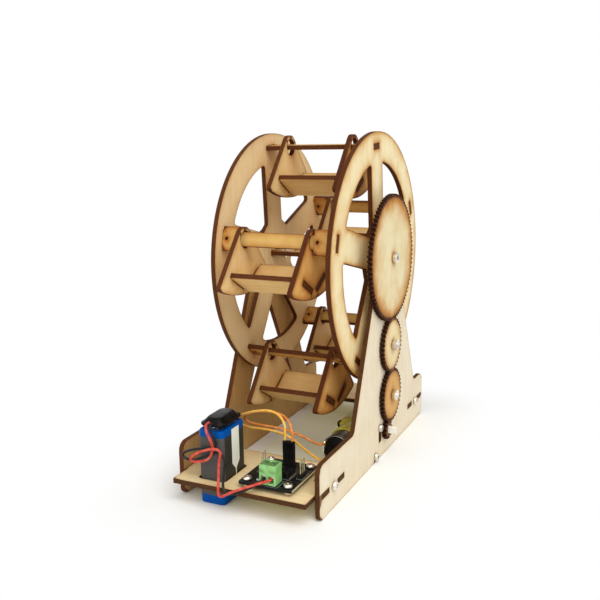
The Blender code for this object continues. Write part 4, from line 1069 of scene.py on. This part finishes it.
def crimped(shape, up, lip):
    """Sinks the end face that looks up or down, and leaves a lip round it."""
    end = max((f for f in shape.faces if f.normal.z * up > 0.99), key=lambda f: f.calc_area())
    bmesh.ops.inset_region(shape, faces=[end], thickness=lip * MM, depth=0, use_even_offset=True)
    bmesh.ops.inset_region(shape, faces=[end], thickness=0.25 * MM, depth=-0.4 * MM, use_even_offset=True)


CASE_TOP = 46.4
low, high = box_mm("battery")
case = rounded_block(low, (high.x, high.y, CASE_TOP), 3.2, 1.1)
case.normal_update()
crimped(case, 1, 0.7)
crimped(case, -1, 0.9)
shown(mesh_from(case, "battery_case"), wrap, ["battery"])
print("battery", rounded(high - low), "mm")

# %% Press studs and snap cap
middle = (low + high) / 2
studs = [rod((middle.x, middle.y + off, CASE_TOP - 0.5), (middle.x, middle.y + off, 48.4), foot, tip, steps)
         for off, foot, tip, steps in ((-6.35, 2.9, 2.7, 32), (6.35, 4.0, 3.8, 6))]
shown(mesh_from(eased(joined(*studs), 0.2), "battery_studs"), zinc)

glossy_black = handled_finish("glossy_black_plastic", (10, 9, 8), (20, 19, 17), 0.2, 0.4, specular=0.1)
low, high = box_mm("battery_snap")
cap = block(low + Vector((0.4, 0.4, 1.0)), high - Vector((0.4, 0.4, 0.5)))
crown = [v for v in cap.verts if v.co.z > (low.z + 3) * MM]
crown_middle = sum((v.co for v in crown), Vector()) / len(crown)
bmesh.ops.scale(cap, vec=(0.62, 0.74, 1), space=Matrix.Translation(-crown_middle), verts=crown)
eased(bevel(cap, upright_edges(cap), 3.2, 5), 0.55, steps=3, angle=20)
plate = rounded_block(low, (high.x, high.y, low.z + 1.5), 4.0, 0.4)
shown(mesh_from(joined(cap, plate), "snap_cap"), glossy_black, ["battery_snap"])
print("snap cap from", rounded(low), "to", rounded(high))

# %% [markdown]
# ## Circuit board
# A black board on four spacers carries the motor driver: a chip, two strips of pins, some
# small parts and a green terminal block. Its cut edge is the pale glass fibre that shows
# between the black faces. Pads and thin white outlines are printed on top, without words.

# %% Board with its chip and pins
CHIP = (-26.8, -106.8)
OUTLINES = ((CHIP, (6.4, 4.9), 0.12), ((-28.4, -119.2), (6.2, 4.9), 0.1), ((-41.3, -104.0), (1.9, 4.6), 0.1),
            ((-15.3, -104.0), (1.8, 4.6), 0.1))


def printed_board():
    """Black with faint traces and thin printed lines, and a pale cut edge at the right."""
    made, g, place = material("solder_mask_black", specular=0.15)
    at = g.parts(place)

    def outline(middle, half, width):
        """A line round a rectangle, from its middle and half its sides."""
        return g.ease(g.math("ABSOLUTE", g.larger(*g.outside(at, middle, half))), width, width + 0.05, 1, 0)

    lines = outline(*OUTLINES[0])
    for row in OUTLINES[1:]:
        lines = g.larger(lines, outline(*row))
    lines = g.times(lines, g.ease(at["Z"], 19.82, 19.9, 1, 0))
    traces = g.ease(g.apart(g.grainy(place, 0.16, detail=0), 0.5), 0.006, 0.02, 1, 0)
    black = g.mixed(traces, tone(17, 18, 17), tone(34, 38, 35))
    edge = g.times(g.ease(at["X"], -12.44, -12.38), g.ease(at["Z"], 18.5, 18.6))
    cut_edge = g.mixed(g.grainy(place, 1.5), tone(150, 138, 96), tone(226, 216, 176))
    colour = g.mixed(g.times(lines, 0.45), black, tone(226, 226, 218))
    g.look(g.mixed(edge, colour, cut_edge), g.ease(g.larger(edge, lines), 0, 1, 0.3, 0.6), g.larger(traces, lines),
           0.04, 0.6)
    return made


eased_piece("circuit_board", "board_and_chip", printed_board(), 0.1,
            second=tin, where=lambda spot: spot.z > 22.4 and not -40 < spot.x < -16.8)
low, high = box_mm("circuit_board")
print("board", rounded(high - low), "mm")

# %% Small parts on the board
BOARD_TOP = 19.8
PITCH = 2.54


def chips(name, finish, places, size):
    """Small blocks with eased edges at several places on the board, from x, y and a quarter turn."""
    shapes = []
    for x, y, turned in places:
        wide, deep = (size[1], size[0]) if turned else size[:2]
        shapes.append(eased(block((x - wide / 2, y - deep / 2, BOARD_TOP - 0.05),
                                  (x + wide / 2, y + deep / 2, BOARD_TOP + size[2])), 0.12))
    shown(mesh_from(joined(*shapes), name), finish)


resistors = ((-37.2, -115.2, 0), (-37.2, -112.6, 0), (-20.4, -114.6, 1), (-18.0, -114.8, 1), (-36.4, -95.6, 1),
             (-21.2, -92.4, 0), (-33.6, -92.2, 0))
ends = [(x + (0 if t else d), y + (d if t else 0), t) for x, y, t in resistors for d in (-0.85, 0.85)]
legs = [(CHIP[0] + side * 5.9, CHIP[1] + (i - 2.5) * PITCH / 2, 0) for side in (-1, 1) for i in range(6)]
chips("board_resistors", black_plastic, resistors, (1.5, 1.1, 0.55))
chips("board_resistor_ends", tin, ends, (0.5, 1.25, 0.6))
chips("board_lamps", white_plastic, ((-19.4, -118.6, 0), (-37.0, -118.9, 0)), (1.6, 0.9, 0.8))
chips("board_chip_legs", tin, legs, (1.3, 0.45, 0.45))
print("small parts:", len(resistors), "resistors and", len(legs), "chip legs")

# %% [markdown]
# The terminal block is green plastic. Each of its two poles has a round well on top with a
# clamping screw, and an entry in front with a bright clamp, where the battery leads go in.

# %% Terminal block
green_plastic = handled_finish("green_plastic", (146, 204, 126), (128, 184, 108), 0.34, 0.5)
well_green = handled_finish("shaded_green_plastic", (92, 138, 76), (76, 118, 64), 0.5, 0.7)
POLES, WELLS_AT = (-30.9, -25.9), -118.6


def in_a_well(spot):
    """Whether a point is on the wall or the floor of a screw's well."""
    return spot.z > 29.4 and min((spot - Vector((x, WELLS_AT, spot.z))).length for x in POLES) < 1.8


wells = [rod((x, WELLS_AT, 29.6), (x, WELLS_AT, 33), 1.75) for x in POLES]
probe_holes = [rod((x, -116.0, 31.3), (x, -116.0, 33), 0.5) for x in POLES]
grooves = [block((-28.6, -124, 19), (-28.2, -123.2, 33)), block((-34, -124, 27.4), (-22, -123.3, 27.8))]
eased_piece("terminal_block", "terminal_housing", green_plastic, 0.18,
            cutters=wells + probe_holes + grooves, second=well_green, where=in_a_well)
clamps = []
for x in POLES:
    screw = eased(rod((x, WELLS_AT, 28.9), (x, WELLS_AT, 30.7), 1.6), 0.25)
    clamps.append(carved(screw, block((x - 2, WELLS_AT - 0.25, 30.1), (x + 2, WELLS_AT + 0.25, 31.5))))
    clamps.append(eased(block((x - 1.4, -122.6, 24.3), (x + 1.4, -119.7, 25.7)), 0.25))
print("clamps and their screws:", len(clamps))
shown(mesh_from(joined(*clamps), "terminal_clamps"), zinc)

# %% [markdown]
# Three black housings stand side by side on a strip of pins. The yellow and the orange lead
# go into them. Each real housing has a little window, where a tongue holds its contact.

# %% Connector housings
ROW_MIDDLE = -26.9
low, high = box_mm("connector_row")
recesses = [block((ROW_MIDDLE + i * PITCH - 0.5, -99.6, 30.2), (ROW_MIDDLE + i * PITCH + 0.5, -98.95, 34.2))
            for i in (-1, 0, 1)]
for x in (ROW_MIDDLE - PITCH / 2, ROW_MIDDLE + PITCH / 2):
    recesses.append(block((x - 0.16, low.y - 1, 23.4), (x + 0.16, low.y + 0.5, high.z + 1)))
    recesses.append(block((x - 0.16, low.y - 1, high.z - 0.5), (x + 0.16, high.y + 1, high.z + 1)))
eased_piece("connector_row", "lead_housings", black_plastic, 0.15,
            cutters=recesses)
print("windows and grooves in the housings:", len(recesses))
